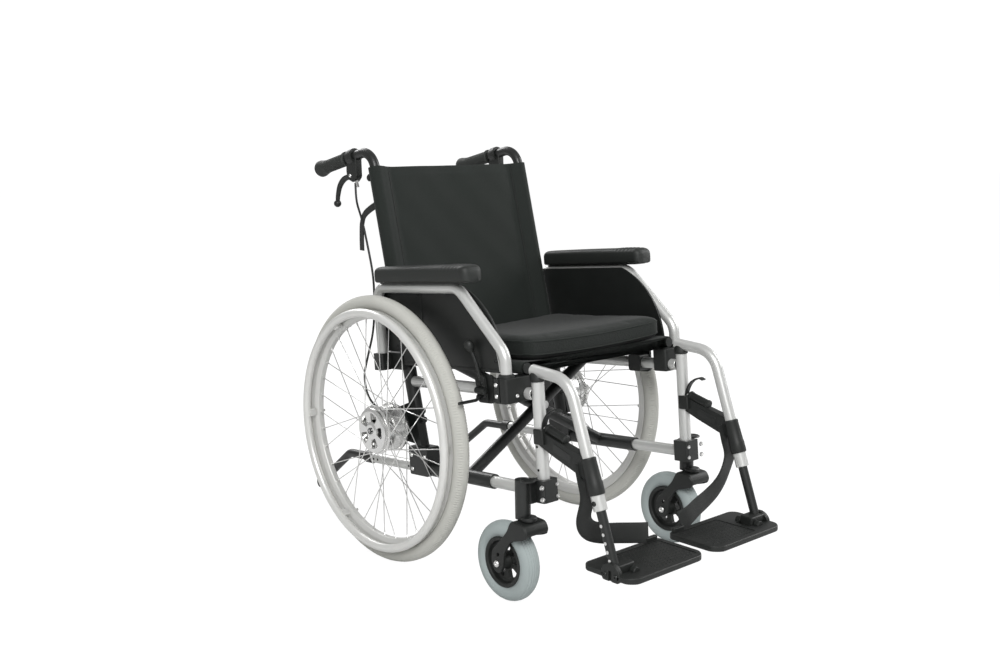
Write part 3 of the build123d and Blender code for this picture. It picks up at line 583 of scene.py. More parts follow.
def make_finishes(kit):
    """Every material of the chair."""
    FINISHES.update(
        silver=metal("silver", kit.silver, 0.45, 0.36, 0.25),
        rim=metal("rim", kit.rim, 0.35, 0.4),
        handrim=metal("handrim", shade(kit.rim, 1.12), 0.3, 0.34, 0.2),
        trim=metal("trim", kit.silver, 0.0, 0.55),
        hub=metal("hub", kit.hub, 0.9, 0.2),
        steel=metal("steel", kit.hub, 0.95, 0.28),
        coat=moulded("coat", kit.black, 0.42, 2200, 0.00004, 0.15),
        plastic=moulded("plastic", kit.plastic, 0.5),
        panel=moulded("panel", kit.black, 0.45, 1800, 0.00003),
        # painted shade: near-black finish of the discs that stand for the shaded inside of the tube holes
        hole=moulded("hole", shade(kit.black, 0.4), 0.8),
        grip=moulded("grip", kit.grip, 0.66, 1100, 0.00012),
        sheath=moulded("sheath", kit.black, 0.5),
        pad=moulded("pad", kit.pad, 0.56, 700, 0.00016),
        tyre=rubber("tyre", kit.tyre),
        castor=rubber("castor", kit.castor, 0.6, 0.05),
        roller=rubber("roller", kit.black, 0.7),
        webbing=webbing("webbing", kit.plastic),
        back=cloth("back", kit.cloth, 0.0016, 0.00016),
        seat=cloth("seat", shade(kit.cloth, 0.75), 0.0018, 0.0006, 0.1, 260.0),
    )
    slots = {
        "silver_lacquer": "silver", "rim_silver": "rim", "black_coat": "coat",
        "black_plastic": "plastic", "panel_black": "panel", "grip_rubber": "grip",
        "cable_sheath": "sheath", "grey_tyre": "tyre", "castor_grey": "castor",
        "roller_rubber": "roller", "spoke_steel": "steel", "polished_hub": "hub",
        "pad_skin": "pad", "black_webbing": "webbing", "black_upholstery": "back",
        "cushion_cover": "seat",
    }
    for part in frame["record"]["subparts"]:
        mesh = frame["nodes"][part["node"]].data
        for k in range(len(mesh.materials)):
            mesh.materials[k] = FINISHES[slots[part["material_slot"]]]


# ---- Rear wheels -----------------------------------------------------------------------------
WHEEL_X = TYRE_MIDDLE.x
TYRE_TUBE_R = TYRE_SIZE.x / 2
RIBS = 320
HUB_OUT, HUB_IN = HUB_MIDDLE.x - HUB_SIZE.x / 2, HUB_MIDDLE.x + HUB_SIZE.x / 2
FLANGE_R = HUB_SIZE.z / 2


def rear_tyre():
    """Round section with fine cross ribs on both shoulders."""
    tube_at = WHEEL_R - TYRE_TUBE_R
    turns = [2 * pi * k / 30 for k in range(30)]
    profile = [(TYRE_TUBE_R * sin(t), tube_at + TYRE_TUBE_R * cos(t)) for t in turns]

    def ripple(k, t, r):
        lean = abs(atan2(t, r - tube_at))
        if k % 3 == 0 and radians(22) < lean < radians(74):
            return -1.8
        return -0.5 if lean < radians(8) else 0.0

    return lathe(at(WHEEL_X, 0, WHEEL_R), X_AXIS, profile, RIBS * 3, ripple)


def rear_rim():
    """Double-walled rim with a lipped edge."""
    outer = WHEEL_R - 2 * TYRE_TUBE_R
    half = [(10.5, outer - 6.5), (10.5, outer + 4), (13, outer + 4), (13, outer - 10), (6, outer - 19)]
    outline = [(-t, r) for t, r in reversed(half)] + half
    return lathe(at(WHEEL_X, 0, WHEEL_R), X_AXIS, rounded(outline, 1.6, 3), 180)


def wheel_point(x, r, turn):
    """A point of the rear wheel, given across, by radius and by turn."""
    return at(x, r * sin(turn), WHEEL_R + r * cos(turn))


def spokes_and_nipples(kit):
    """Crossed spokes and the nipples that hold them in the rim."""
    wires, nipples = [], []
    for k in range(kit.spokes):
        side = 1 if (k // 2) % 2 == 0 else -1
        flange_x = HUB_IN - 3 if k % 2 == 0 else WHEEL_X - 14
        turn = radians(k * 360 / kit.spokes)
        foot = wheel_point(flange_x + side * 2.2, FLANGE_R - 3, turn + radians(side * 50))
        tip = wheel_point(WHEEL_X, WHEEL_R - 2 * TYRE_TUBE_R - 16, turn)
        wires.append(sweep([foot, tip], 1.1, 8))
        head = wheel_point(flange_x + side * 4.4, FLANGE_R - 3, turn + radians(side * 50))
        wires.append(turned(head, foot - head, [(-0.6, 0.8), (0, 2.0), (1.4, 2.0), (2.4, 1.0)], 10))
        way = (foot - tip).normalized()
        nipples.append(turned(tip, way, [(-1, 2.6), (3.4, 2.5), (4.4, 1.9), (12, 1.7)], 10))
    return join(*wires), join(*nipples)


def handrim_ring():
    """The tube that the rider pushes."""
    turns = [2 * pi * k / 18 for k in range(18)]
    tube_r = 9.5
    ring_r = HANDRIM_SIZE.z / 2 - tube_r
    profile = [(tube_r * cos(t), ring_r + tube_r * sin(t)) for t in turns]
    return lathe(at(HANDRIM_MIDDLE.x - HANDRIM_SIZE.x / 2 + tube_r, 0, WHEEL_R), X_AXIS, profile, 180)


def handrim_tabs():
    """Six tabs, each with its screw, between the rim and the handrim."""
    tabs = []
    for k in range(6):
        turn = radians(30 + 60 * k)
        out = wheel_point(0, 1, turn) - wheel_point(0, 0, turn)
        round_way = X_AXIS.cross(out)
        middle = wheel_point(WHEEL_X - 13.1, 257.5, turn)
        outline = rounded([(-9, -5), (9, -5), (9, 5), (-9, 5)], 3)

        def place(u, v, w):
            return middle + round_way * u + out * v - X_AXIS * w

        tabs.append(slab(outline, place, 15.5, 1.2))
        tabs.append(bolt(wheel_point(WHEEL_X + 12, 257, turn), X_AXIS, 3.4, 2.2))
    return join(*tabs)


def sector(inner, outer, spread, steps=7):
    """Outline of a window between two radii."""
    turns = [spread * (k / (steps - 1) - 0.5) for k in range(steps)]
    near = [(inner * sin(t), inner * cos(t)) for t in reversed(turns)]
    return rounded([(outer * sin(t), outer * cos(t)) for t in turns] + near, 4, 2)


def hub_shell():
    """Polished drum hub: windowed outer face, ribbed drum and two spoke flanges."""
    middle = at(0, 0, WHEEL_R)
    dish = [(0, 7), (0, 15), (3, 19), (2, 44), (4, 51), (14, 52), (14, 49), (7, 46), (7, 7)]
    face = lathe(middle + X_AXIS * HUB_OUT, X_AXIS, rounded(dish, 1.5, 2), 80)
    cutters = []
    for k in range(5):
        turn = Matrix.Rotation(radians(72 * k + 18), 3, "X")
        cutters.append(slab(
            sector(20, 41, radians(40)),
            lambda u, v, w: middle + turn @ Vector((HUB_OUT - 6 + w, u, v)), 20, 0))
    face = carve(face, *cutters)
    wall = [(0, 43), (0, FLANGE_R), (-5.5, FLANGE_R), (-6.5, 51), (-30, 50), (-31, 47), (-33, 50),
            (-46, 50), (-47, FLANGE_R), (-52, FLANGE_R), (-53, 49), (-53, 24), (-50, 24), (-50, 43)]
    drum = lathe(middle + X_AXIS * HUB_IN, X_AXIS, rounded(wall, 1.0, 2), 96)
    core = turned(middle + X_AXIS * (HUB_OUT + 2), X_AXIS, [(0, 12), (1, 13), (4, 13), (6, 17), (14, 17)], 40)
    fins = [
        plate([(u - 1.5, v) for u, v in [(0, 30), (3, 30), (3, 46), (0, 46)]], HUB_OUT + 8, 8, 0.4,
              lambda x, u, v, k=k: middle + Matrix.Rotation(radians(24 * k), 3, "X") @ Vector((x, u, v)))
        for k in range(15)
    ]
    return join(face, drum, core, *fins)


def hub_nut():
    """Axle button at the middle of the hub."""
    middle = at(0, 0, WHEEL_R)
    nut = rounded([(7 * sin(k * pi / 3), 7 * cos(k * pi / 3)) for k in range(6)], 1, 2)
    return join(
        slab(nut, lambda u, v, w: middle + Vector((HUB_OUT - 1.5 + w, u, v)), 6, 0.8),
        turned(middle + X_AXIS * (HUB_OUT - 3), X_AXIS, [(0, 4.2), (0.8, 5), (4, 5)], 20),
    )


def build_rear_wheels(kit):
    """Tyres, rims, spokes, handrims and hubs."""
    wires, nipples = spokes_and_nipples(kit)
    make_pair("tyre_rubber", rear_tyre(), "tyre", "wheel", ["rear_tyre"], crease=50)
    make_pair("rim_profile", rear_rim(), "rim", "wheel", ["rear_rim"])
    make_pair("spoke_wires", wires, "steel", "wheel", ["spokes"])
    make_pair("spoke_nipples", nipples, "steel", "wheel")
    make_pair("handrim_tube", handrim_ring(), "handrim", "wheel", ["handrim"])
    make_pair("handrim_tabs", handrim_tabs(), "rim", "wheel")
    make_pair("hub_shell", hub_shell(), "hub", "wheel", ["rear_hub"])
    make_pair("hub_nut", hub_nut(), "steel", "wheel")


# ---- Castors ---------------------------------------------------------------------------------
CASTOR_X, CASTOR_Y = CASTOR_MIDDLE.x, CASTOR_MIDDLE.y - AXLE_Y
CASTOR_R, CASTOR_HALF = CASTOR_SIZE.z / 2, CASTOR_SIZE.x / 2
STEM_Y = (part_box("right_castor_housing")[0].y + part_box("right_castor_housing")[1].y) / 2 / MM - AXLE_Y


def castor_tyre():
    """Solid tyre with fine running grooves."""
    crown = [(CASTOR_HALF * sin(radians(a)), 66 + (CASTOR_R - 66) * cos(radians(a)))
             for a in range(-84, 85, 7)]
    outline = [(-16, 53), (-CASTOR_HALF, 61), *crown, (CASTOR_HALF, 61), (16, 53)]

    def ripple(k, t, r):
        grooves = sum(exp(-((abs(t) - g) / 0.9) ** 2) for g in (2.6, 7.8, 13.2))
        return -0.9 * grooves if r > 68 else 0.0

    fine = []
    for (t, r), (u, s) in zip(outline, outline[1:]):
        parts = 4 if r > 68 or s > 68 else 1
        fine += [(t + (u - t) * k / parts, r + (s - r) * k / parts) for k in range(parts)]
    return lathe(at(CASTOR_X, CASTOR_Y, CASTOR_R), X_AXIS, [*fine, outline[-1]], 110, ripple)


def castor_rim():
    """Black moulded wheel centre with five windows."""
    middle = at(CASTOR_X, CASTOR_Y, CASTOR_R)
    half = [(17.5, 54), (19, 50), (17, 45), (8, 43), (5, 38), (5, 17), (20, 14), (22, 11), (22, 5.3)]
    shape = lathe(middle, X_AXIS, rounded(half + [(-t, r) for t, r in reversed(half)], 1.5, 2), 90)
    cutters = []
    for k in range(5):
        turn = Matrix.Rotation(radians(72 * k), 3, "X")
        cutters.append(slab(sector(20, 38, radians(44)),
                            lambda u, v, w: middle + turn @ Vector((w - 30, u, v)), 60, 0))
    return carve(shape, *cutters)


FORK_IN, FORK_OUT = 24.5, 31.5


def fork_arm(x, depth):
    """One arm: a wide shoulder that narrows to the axle, with three slots."""
    outline = rounded([
        (STEM_Y - 25, 170), (STEM_Y - 17, 183), (STEM_Y + 22, 185), (STEM_Y + 34, 160),
        (CASTOR_Y + 17, 108), (CASTOR_Y + 18, 82), (CASTOR_Y + 6, 66), (CASTOR_Y - 8, 66),
        (CASTOR_Y - 19, 82), (CASTOR_Y - 22, 112), (CASTOR_Y - 42, 142), (STEM_Y - 14, 153),
        (STEM_Y - 23, 157)], 9, 5)
    slots = []
    for start, end in (((-2, 49), (-10, 60)), ((-1, 17), (-7, 24)), ((3, -6), (9, -1))):
        a, b = (Vector((CASTOR_Y + y, CASTOR_R + z)) for y, z in (start, end))
        side = (b - a).orthogonal().normalized() * 3.4
        corners = [a - side, b - side, b + side, a + side]
        slots.append(plate(rounded([tuple(c) for c in corners], 3, 3), x - 5, depth + 10, 0))
    return carve(plate(outline, x, depth, 2.2), *slots)


def castor_fork():
    """Two arms under a crown with a bulging nose."""
    crown = rounded([
        (STEM_Y - 27, 170), (STEM_Y - 19, 184), (STEM_Y + 20, 186), (STEM_Y + 28, 175),
        (STEM_Y + 6, 169), (STEM_Y - 14, 162), (STEM_Y - 25, 160)], 9, 5)
    left, right = CASTOR_X - FORK_OUT, CASTOR_X + FORK_IN
    depth = FORK_OUT - FORK_IN
    return join(fork_arm(left, depth), fork_arm(right, depth), plate(crown, left + 1, 2 * FORK_OUT - 2, 7))


def castor_bolts():
    """Axle of the castor with a head at each end."""
    axle = at(CASTOR_X, CASTOR_Y, CASTOR_R)
    ends = [bolt(axle + X_AXIS * s * FORK_OUT, X_AXIS * s, 7, 4) for s in (-1, 1)]
    shank = turned(axle - X_AXIS * FORK_OUT, X_AXIS, [(0, 5), (2 * FORK_OUT, 5)], 20)
    return join(*ends, shank)


def housing_cap():
    """Domed cap, grooved collar and the two clamp screws of the castor housing."""
    top = at(CASTOR_X, STEM_Y, 268)
    return join(
        turned(top, Z_AXIS, [(-0.5, 16.3), (1.5, 16.3), (3, 14.5), (3.2, 8), (2.2, 7.5)], 40),
        turned(at(CASTOR_X, STEM_Y, 187), Z_AXIS, [(-1.5, 15), (0, 17.4), (5, 17.4), (6.5, 16)], 40),
    )


def clamp_screws():
    """Screws that clamp the castor housing to the front post."""
    places = [tilted(RIGHT - 27, -475 - 21, n) for n in (197, 221)]
    return join(*[bolt(p, Vector((0, -1, 0)), 5.2, 4) for p in places],
                *[bolt(tilted(RIGHT + 16, -496, n), Vector((0, -1, 0)), 4.2, 3) for n in (197, 221)])


def build_castors(kit):
    """Castor wheels, forks and the trim of their housings."""
    make_pair("castor_rubber", castor_tyre(), "castor", "castor", ["castor_tyre"], crease=60)
    make_pair("castor_centre", castor_rim(), "plastic", "castor", ["castor_rim"])
    make_pair("castor_fork_body", castor_fork(), "plastic", "fork", ["castor_fork"])
    make_pair("castor_axle", castor_bolts(), "steel", "fork")
    make_pair("castor_housing_trim", housing_cap(), "coat", "frame")
    make_pair("castor_clamp_screws", clamp_screws(), "steel", "frame")


# ---- Side frames -----------------------------------------------------------------------------
def frame_tubes():
    """Front post, upper tube and lower tube."""
    return join(
        pipe(tilted(RIGHT, -475, 185), tilted(RIGHT, -475, 431), 13, 11),
        pipe(tilted(RIGHT, -463, 405), tilted(RIGHT, back_a(405) - 14, 405), 12.5, 10.5),
        pipe(tilted(RIGHT, -463, 206), tilted(RIGHT, 128, 206), 12.5, 10.5),
    )


def frame_holes():
    """Adjustment holes in the post and the rear of the lower tube."""
    post = [tilted(RIGHT - 12.8, -475, n) for n in (252, 300)]
    lower = [tilted(RIGHT - 12.3, a, 206) for a in (-62, -46, -30, 96, 112)]
    rear = [tilted(RIGHT + 12.3, a, 206) for a in (-62, -46, -30)]
    return join(*[turned(p, X_AXIS, [(-0.35, 2.9), (0.6, 2.9)], 18) for p in post + lower],
                *[turned(p, -X_AXIS, [(-0.35, 2.9), (0.6, 2.9)], 18) for p in rear])


def arm_socket():
    """Socket block of the armrest, with its clamp slot, and the two seat cradles."""
    body = block((RIGHT - 59, RIGHT + 19), (-445, -405), (390, 441), 2.5, tilted, 7)
    lip = turned(tilted(RIGHT - 38, -425, 440), tilted(0, 0, 1) - tilted(0, 0, 0),
                 [(0, 17), (6, 16.5), (8, 14.5), (8, 12.2)], 36)
    slot = block((RIGHT - 62, RIGHT - 56), (-427, -423), (386, 446), 0, tilted, 0.5)
    body = carve(body, slot)
    cradles = [
        carve(block((RIGHT - 9, RIGHT + 15), (a - 17, a + 17), (405, 460), 2, tilted, 3),
              turned(tilted(RIGHT + 3, a - 30, 456), Y_AXIS, [(0, 11.3), (70, 11.3)], 30),
              block((RIGHT - 8.3, RIGHT + 14.3), (a - 30, a + 30), (456, 480), 0, tilted, 0.5))
        for a in (-395, -120)
    ]
    return join(body, lip, *cradles)


def frame_screws():
    """Button heads on the socket block, axle plate and rear clamp."""
    outward = -X_AXIS
    spots = [(RIGHT - 59, -415, 405), (RIGHT - 59, -415, 428), (RIGHT - 18, back_a(235) - 24, 236),
             (RIGHT - 18, back_a(235) + 24, 236), (RIGHT - 18, back_a(235) + 24, 204)]
    front = [(RIGHT - 30, -445, 404), (RIGHT + 4, -445, 404)]
    return join(*[bolt(tilted(*s), outward, 4.6, 2.6) for s in spots],
                *[bolt(tilted(*s), Vector((0, -1, 0)), 4.2, 2.4) for s in front])


def build_side_frames(kit):
    """Frame tubes, armrest sockets and their screws."""
    make_pair("frame_tubes", frame_tubes(), "silver", "frame", ["side_frame"])
    # dark discs: painted shade inside the adjustment holes
    make_pair("frame_holes", frame_holes(), "hole", "frame")
    make_pair("armrest_socket", arm_socket(), "plastic", "frame")
    make_pair("frame_screws", frame_screws(), "steel", "frame")


# ---- Legrests --------------------------------------------------------------------------------
def down_leg(z, off=0.0, x=RIGHT):
    """A point on the lower legrest's line, or this far behind it."""
    return at(x, leg_y(z) + off / cos(LEG_LEAN), z)


LEG_WAY = (down_leg(0) - down_leg(100)).normalized()


def hanger_tube():
    """Bent tube that hooks on the front post and leans down to the sleeve."""
    path = bent([at(RIGHT, -428, 487), at(RIGHT, leg_y(480), 480), down_leg(262)], 58)
    return sweep(path, 12, 32)


def hanger_sleeve():
    """Tapered plastic sleeve with a moulded ring at each end."""
    profile = [(0, 12.6), (1, 15.2), (4, 15.8), (6, 15.2), (46, 16.2), (50, 17), (70, 17), (73, 16), (73, 14)]
    return turned(down_leg(335), LEG_WAY, profile, 44)


def hanger_collar():
    """Silver collar under the sleeve."""
    return turned(down_leg(268), LEG_WAY, [(0, 12), (0.5, 14), (32, 14), (32.8, 13), (32.8, 10)], 40)


def collar_screw():
    """Screw that sets the height of the footrest."""
    return bolt(down_leg(252) - X_AXIS * 13.4, -X_AXIS, 5.2, 3.4)


def latch_arm():
    """Flat arm from the post to the sleeve, with the block that hooks the post."""
    outline = rounded([(-452, 371), (-500, 358), (leg_y(333) + 6, 340), (leg_y(290), 290),
                       (-500, 322), (-452, 340)], 5)
    block_low = block((RIGHT - 19, RIGHT + 15), (-498, -470.5), (306, 337), 3, tilted, 5)
    post = turned(tilted(RIGHT, -475, 280), tilted(0, 0, 1) - tilted(0, 0, 0), [(0, 13.3), (100, 13.3)], 40)
    arm = plate(outline, RIGHT - 12, 20, 3)
    web = plate(rounded([(-497, 351), (-547, 335), (-547, 318), (-497, 334)], 4), RIGHT - 12.8, 21.6, 0.6)
    return join(carve(arm, post), carve(block_low, post)), web


def latch_roll():
    """The roll-shaped release grip that lies on the arm."""
    start, end = at(RIGHT, -468, 374), at(RIGHT, -524, 359)
    length = (end - start).length
    profile = [(0, 8), (2, 10), (6, 10), (7, 8.8), (length - 7, 8.8), (length - 6, 10),
               (length - 2, 10), (length, 8)]
    return turned(start, end - start, profile, 32)


def release_lever():
    """Curved fin that unhooks the legrest."""
    path = eased([at(RIGHT, -458, 366), at(RIGHT, -462, 386), at(RIGHT, -474, 405), at(RIGHT, -494, 416),
                  at(RIGHT, -506, 414)], 6)
    return strap(path, lambda t: Vector((0, -1, 0.2 + t)).normalized(), 16, 3.4)


def pivot_cap():
    """Cap on top of the front post."""
    return turned(tilted(RIGHT, -475, 431.5), tilted(0, 0, 1) - tilted(0, 0, 0),
                  [(0, 14.5), (1, 15.3), (13, 15.3), (18, 12.5), (20, 8)], 40)


def footrest_tube():
    """Inner tube with its row of height holes."""
    return sweep([down_leg(118), down_leg(325)], 9.7, 28)


def footrest_holes():
    """Pale rims of the height holes."""
    spots = [down_leg(z) - X_AXIS * 9.8 for z in (146, 162, 178, 194, 210)]
    return join(*[turned(p, X_AXIS, [(0, 3.4), (0.5, 3.4), (0.6, 2.2)], 18) for p in spots])


def footrest_knuckle():
    """Clamp at the foot of the post: a block and an outer cheek with two screws."""
    y = leg_y(126)
    lobes = [(y + 25 * sin(radians(a)), 123 + 22 * cos(radians(a))) for a in range(-130, 131, 13)]
    cheek = carve(plate(rounded(lobes, 2, 2), RIGHT - 16, 10, 2.5),
                  plate([(y - 4, 96), (y + 4, 96), (y + 4, 130), (y - 4, 130)], RIGHT - 20, 8, 0))
    return join(cheek, block((RIGHT - 8, RIGHT + 38), (y - 16.5, y + 16.5), (112.5, 141.5), 4, at, 6))


def knuckle_screws():
    """The two screws in the cheek of the footplate hinge."""
    y = leg_y(126)
    return join(*[bolt(at(RIGHT - 15.6, y + s * 14, 121), -X_AXIS, 5, 2.6) for s in (-1, 1)])


PLATE_TOP = 126.0
PLATE_T = 12.0


def footplate_shape():
    """Moulded plate with a notch for the knuckle, a raised rear kerb and two hinge ears."""
    y_low, y_high = -711, -577
    knuckle = leg_y(126)
    outline = rounded([(-238, y_low + 16), (-222, y_low), (-34, y_low), (-16, y_low + 18), (-16, y_high - 10),
                       (-26, y_high), (-226, y_high), (-238, y_high - 12)], 9, 4)
    low = PLATE_TOP - PLATE_T
    body = slab(outline, lambda u, v, w: at(u, v, low + w), PLATE_T, 3)
    notch = block((-260, -174), (knuckle - 18, knuckle + 18), (low - 5, PLATE_TOP + 5), 0, at, 1)
    tray = block((-162, -30), (y_low + 14, y_high - 16), (PLATE_TOP - 1.2, PLATE_TOP + 5), 0, at, 8)
    ears = [turned(at(-195, y, PLATE_TOP), Y_AXIS, [(0, 8), (1, 9), (11, 9), (12, 8)], 28)
            for y in (knuckle - 30, knuckle + 18)]
    kerb = block((-60, -26), (y_high - 13, y_high - 3), (PLATE_TOP - 2, PLATE_TOP + 9), 2.5, at, 4)
    return join(carve(body, notch, tray), kerb, *ears)


def footplate_studs():
    """Rows of small grip studs on the plate."""
    studs = []
    for i in range(14):
        for k in range(11):
            x, y = -157 + i * 9.5 + (k % 2) * 4.7, -692 + k * 9.2
            if x > -34:
                continue
            studs.append(turned(at(x, y, PLATE_TOP - 1.3), Z_AXIS, [(0, 2.1), (0.9, 1.7), (1.25, 0.8)], 8))
    return join(*studs)


def heel_strap():
    """Webbing from behind the sleeve down and across to the plate's inner rear."""
    path = eased([
        down_leg(322, 21), down_leg(292, 23), down_leg(256, 27), at(RIGHT + 3, -566, 208),
        at(RIGHT + 22, -561, 181), at(RIGHT + 56, -563, 166), at(RIGHT + 100, -572, 158),
        at(RIGHT + 142, -583, 151), at(RIGHT + 172, -584, 145)], 9)
    return strap(path, lambda t: Vector((0.1 * t, 1, 0.25 - 0.5 * t)).normalized(), 42, 1.8, 0.1), path


def build_legrests(kit):
    """Hangers, latches, footrests, footplates and heel straps."""
    arm, web = latch_arm()
    make_pair("hanger_tube", hanger_tube(), "silver", "legrest", ["legrest_hanger"])
    make_pair("hanger_sleeve", hanger_sleeve(), "plastic", "legrest")
    make_pair("hanger_collar", hanger_collar(), "silver", "legrest")
    make_pair("hanger_screw", collar_screw(), "coat", "legrest")
    make_pair("latch_arm", arm, "plastic", "legrest")
    make_pair("latch_web", web, "coat", "legrest")
    make_pair("latch_roll", latch_roll(), "plastic", "legrest")
    make_pair("release_lever", release_lever(), "plastic", "legrest")
    make_pair("legrest_pivot_cap", pivot_cap(), "plastic", "legrest")
    make_pair("footrest_tube", footrest_tube(), "coat", "footrest", ["footrest_post"])
    make_pair("footrest_holes", footrest_holes(), "steel", "footrest")
    make_pair("footrest_knuckle", footrest_knuckle(), "plastic", "footrest")
    make_pair("knuckle_screws", knuckle_screws(), "coat", "footrest")
    make_pair("footplate_body", footplate_shape(), "plastic", "foot_plate", ["footplate"])
    make_pair("footplate_studs", footplate_studs(), "plastic", "foot_plate")
    shape, path = heel_strap()
    length = sum((b - a).length for a, b in zip(path, path[1:])) * MM
    straps = make_pair("heel_webbing", shape, "webbing", "footrest", ["heel_strap"])
    for side, made in zip(("right", "left"), straps):
        made.parent = None
        made.matrix_world = Matrix.Identity(4)
        sign = 1 if side == "right" else -1
        start, end = at(sign * (RIGHT + 40), -565, 150) * MM, at(sign * (RIGHT + 150), -565, 150) * MM
        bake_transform(made)


# ---- Armrests --------------------------------------------------------------------------------
ARM_X = 260.0
PAD_FROM, PAD_TO = -348.0, -18.0


def armrest_pad():
    """Soft pad: a rounded section along its length, with a wrinkled front quarter."""
    rings = []
    count = 110
    for i in range(count + 1):
        t = i / count
        a = PAD_FROM + (PAD_TO - PAD_FROM) * t
        end = min(t, 1 - t) * (PAD_TO - PAD_FROM)
        close = sqrt(max(0.0, 1 - (1 - min(end / 17, 1)) ** 2))
        width, height = 26.5 * (0.45 + 0.55 * close), 36.0 * (0.62 + 0.38 * close)
        front = exp(-((t - 0.16) / 0.1) ** 4)
        ring = []
        for k in range(36):
            turn = 2 * pi * k / 36
            across, up = cos(turn), sin(turn)
            u = width * abs(across) ** 0.55 * (1 if across > 0 else -1)
            v = abs(up) ** (0.6 if up > 0 else 0.3) * (1 if up > 0 else -1)
            fold = 1.5 * front * sin(a / 1.9 + u * 0.06) * up if up > 0 else 0
            n = 634.3 + height * (0.5 + 0.5 * v) + fold
            n += 1.2 * sin(pi * t) if up > 0 else 0
            ring.append(tilted(-ARM_X - 2 + u, a, n))
        rings.append(ring)
    return skin(rings, False, True)


def pad_base():
    """Carrier under the pad and its two saddle screws."""
    base = block((-ARM_X - 20, -ARM_X + 16), (PAD_FROM + 14, PAD_TO - 12), (632.5, 637), 1, tilted, 10)
    screws = [bolt(tilted(-ARM_X, a, 610.5), tilted(0, 0, 0) - tilted(0, 0, 1), 4, 2.4) for a in (-250, -60)]
    return join(base, *screws)


def panel_arc(inset, steps=16):
    """Front edge of the side panel, an arc from the arm tube down to the seat."""
    a, b, c = Vector((-285, 626)), Vector((-372, 560)), Vector((-408, 458))
    out = []
    for k in range(steps + 1):
        t = k / steps
        place = a * (1 - t) * (1 - 2 * t) + b * 4 * t * (1 - t) + c * t * (2 * t - 1)
        out.append((place.x + inset, place.y - inset * 0.55))
    return out


def side_panel():
    """Thin panel between the arm tube and the seat."""
    outline = [(-62, 475), (20, 475), (20, 602), (4, 626), *panel_arc(0), (-400, 446), (-62, 446)]
    return plate(rounded(outline, 3, 2), -247.7, 4.8, 1.2, tilted)


def panel_bead():
    """Pale bead that follows the panel's arc on its outer face."""
    return sweep([tilted(-248.4, a, n) for a, n in panel_arc(15)[2:]], 1.3, 8)


def panel_ribs():
    """A seam and a shallow border moulded on the outer face."""
    seam = plate([(-143, 452), (-139, 452), (-139, 620), (-143, 620)], -249.0, 1.6, 0.5, tilted)
    kerb = plate([(-392, 449), (-64, 449), (-64, 453), (-392, 453)], -249.0, 1.6, 0.5, tilted)
    return join(seam, kerb)


def panel_screws():
    """Screws that hold the panel."""
    spots = [(-130, 606), (-20, 606), (-40, 488), (-380, 470)]
    return join(*[bolt(tilted(-247.6, a, n), -X_AXIS, 3.8, 2) for a, n in spots])


def build_armrests(kit):
    """Arm pads and side panels."""
    for made in make_pair("arm_pad", armrest_pad(), "pad", "armrest", ["armrest_pad"], crease=70):
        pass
    make_pair("pad_base", pad_base(), "plastic", "armrest")
    make_pair("panel_skin", side_panel(), "panel", "armrest", ["side_panel"])
    make_pair("panel_bead", panel_bead(), "trim", "armrest")
    make_pair("panel_ribs", panel_ribs(), "panel", "armrest")
    make_pair("panel_screws", panel_screws(), "coat", "armrest")


# ---- Handles and brakes ----------------------------------------------------------------------
BACK_FROM, BACK_RISE = 476.0, 421.0  # lower edge of the back, and its height above that
BACK_LOW = tilted(0, back_a(BACK_FROM), BACK_FROM)
BACK_UP = Vector((0, sin(TILT + BACK_LEAN), cos(TILT + BACK_LEAN)))
BACK_OUT = Vector((0, -BACK_UP.z, BACK_UP.y))  # out of the front face of the back
BACK_TALL = BACK_RISE / cos(BACK_LEAN)
CLAMP_Y, GRIP_FROM, GRIP_RUN = 186.0, 211.0, 120.0  # lever clamp, start and length of the grip
LEVER_PIVOT, LEVER_BALL = (80, -60), (152, -127)
PARKING_PIN = (-334, 422)


def on_handle(y):
    """The point of the push handle's centre line that is y behind the axle."""
    return HANDLE + HANDLE_BACK * ((y - (HANDLE.y - AXLE_Y)) / cos(GRIP_SLOPE))


def on_back_tube(z):
    """The point of the right-hand back tube's centre line at height z."""
    return BACK_LOW + BACK_UP * ((z - BACK_LOW.z) / BACK_UP.z) + X_AXIS * RIGHT


def push_grip():
    """Ridged rubber grip that flares at its end."""
    start = on_handle(GRIP_FROM)
    length = GRIP_RUN / cos(GRIP_SLOPE)
    profile = [(0, 11.6), (0, 17.2), (1.2, 18), (4, 18), (5, 15.5)]
    for k in range(17):
        at_k = 8 + k * 4.6
        profile += [(at_k, 15.6), (at_k + 0.8, 14.6), (at_k + 1.9, 14.6), (at_k + 2.7, 15.6)]
    profile += [(0.72 * length, 15.7), (0.84 * length, 18.2), (0.9 * length, 19.8), (0.95 * length, 20),
                (0.985 * length, 18), (length, 13), (length, 5), (length - 1.5, 3)]
    return turned(start, HANDLE_BACK, profile, 44)


def handle_at(x, y, z):
    """The same point as handle(), with x first."""
    return handle(y, z, x)


def lever_clamp():
    """Clamp band and the housing that holds the lever."""
    middle = on_handle(CLAMP_Y)
    band = lathe(middle - HANDLE_BACK * 11, HANDLE_BACK,
                 rounded([(0, 11.7), (0, 17.5), (2, 18.5), (20, 18.5), (22, 17.5), (22, 11.7)], 1, 2), 44)
    outline = rounded([(56, -16), (95, -24), (97, -52), (92, -68), (70, -76), (55, -64)], 5)
    housing = plate(outline, -9, 18, 2.5, handle_at)
    mouth = block((-5.2, 5.2), (66, 110), (-88, -46), 0, handle_at, 1)
    return join(band, carve(housing, mouth))


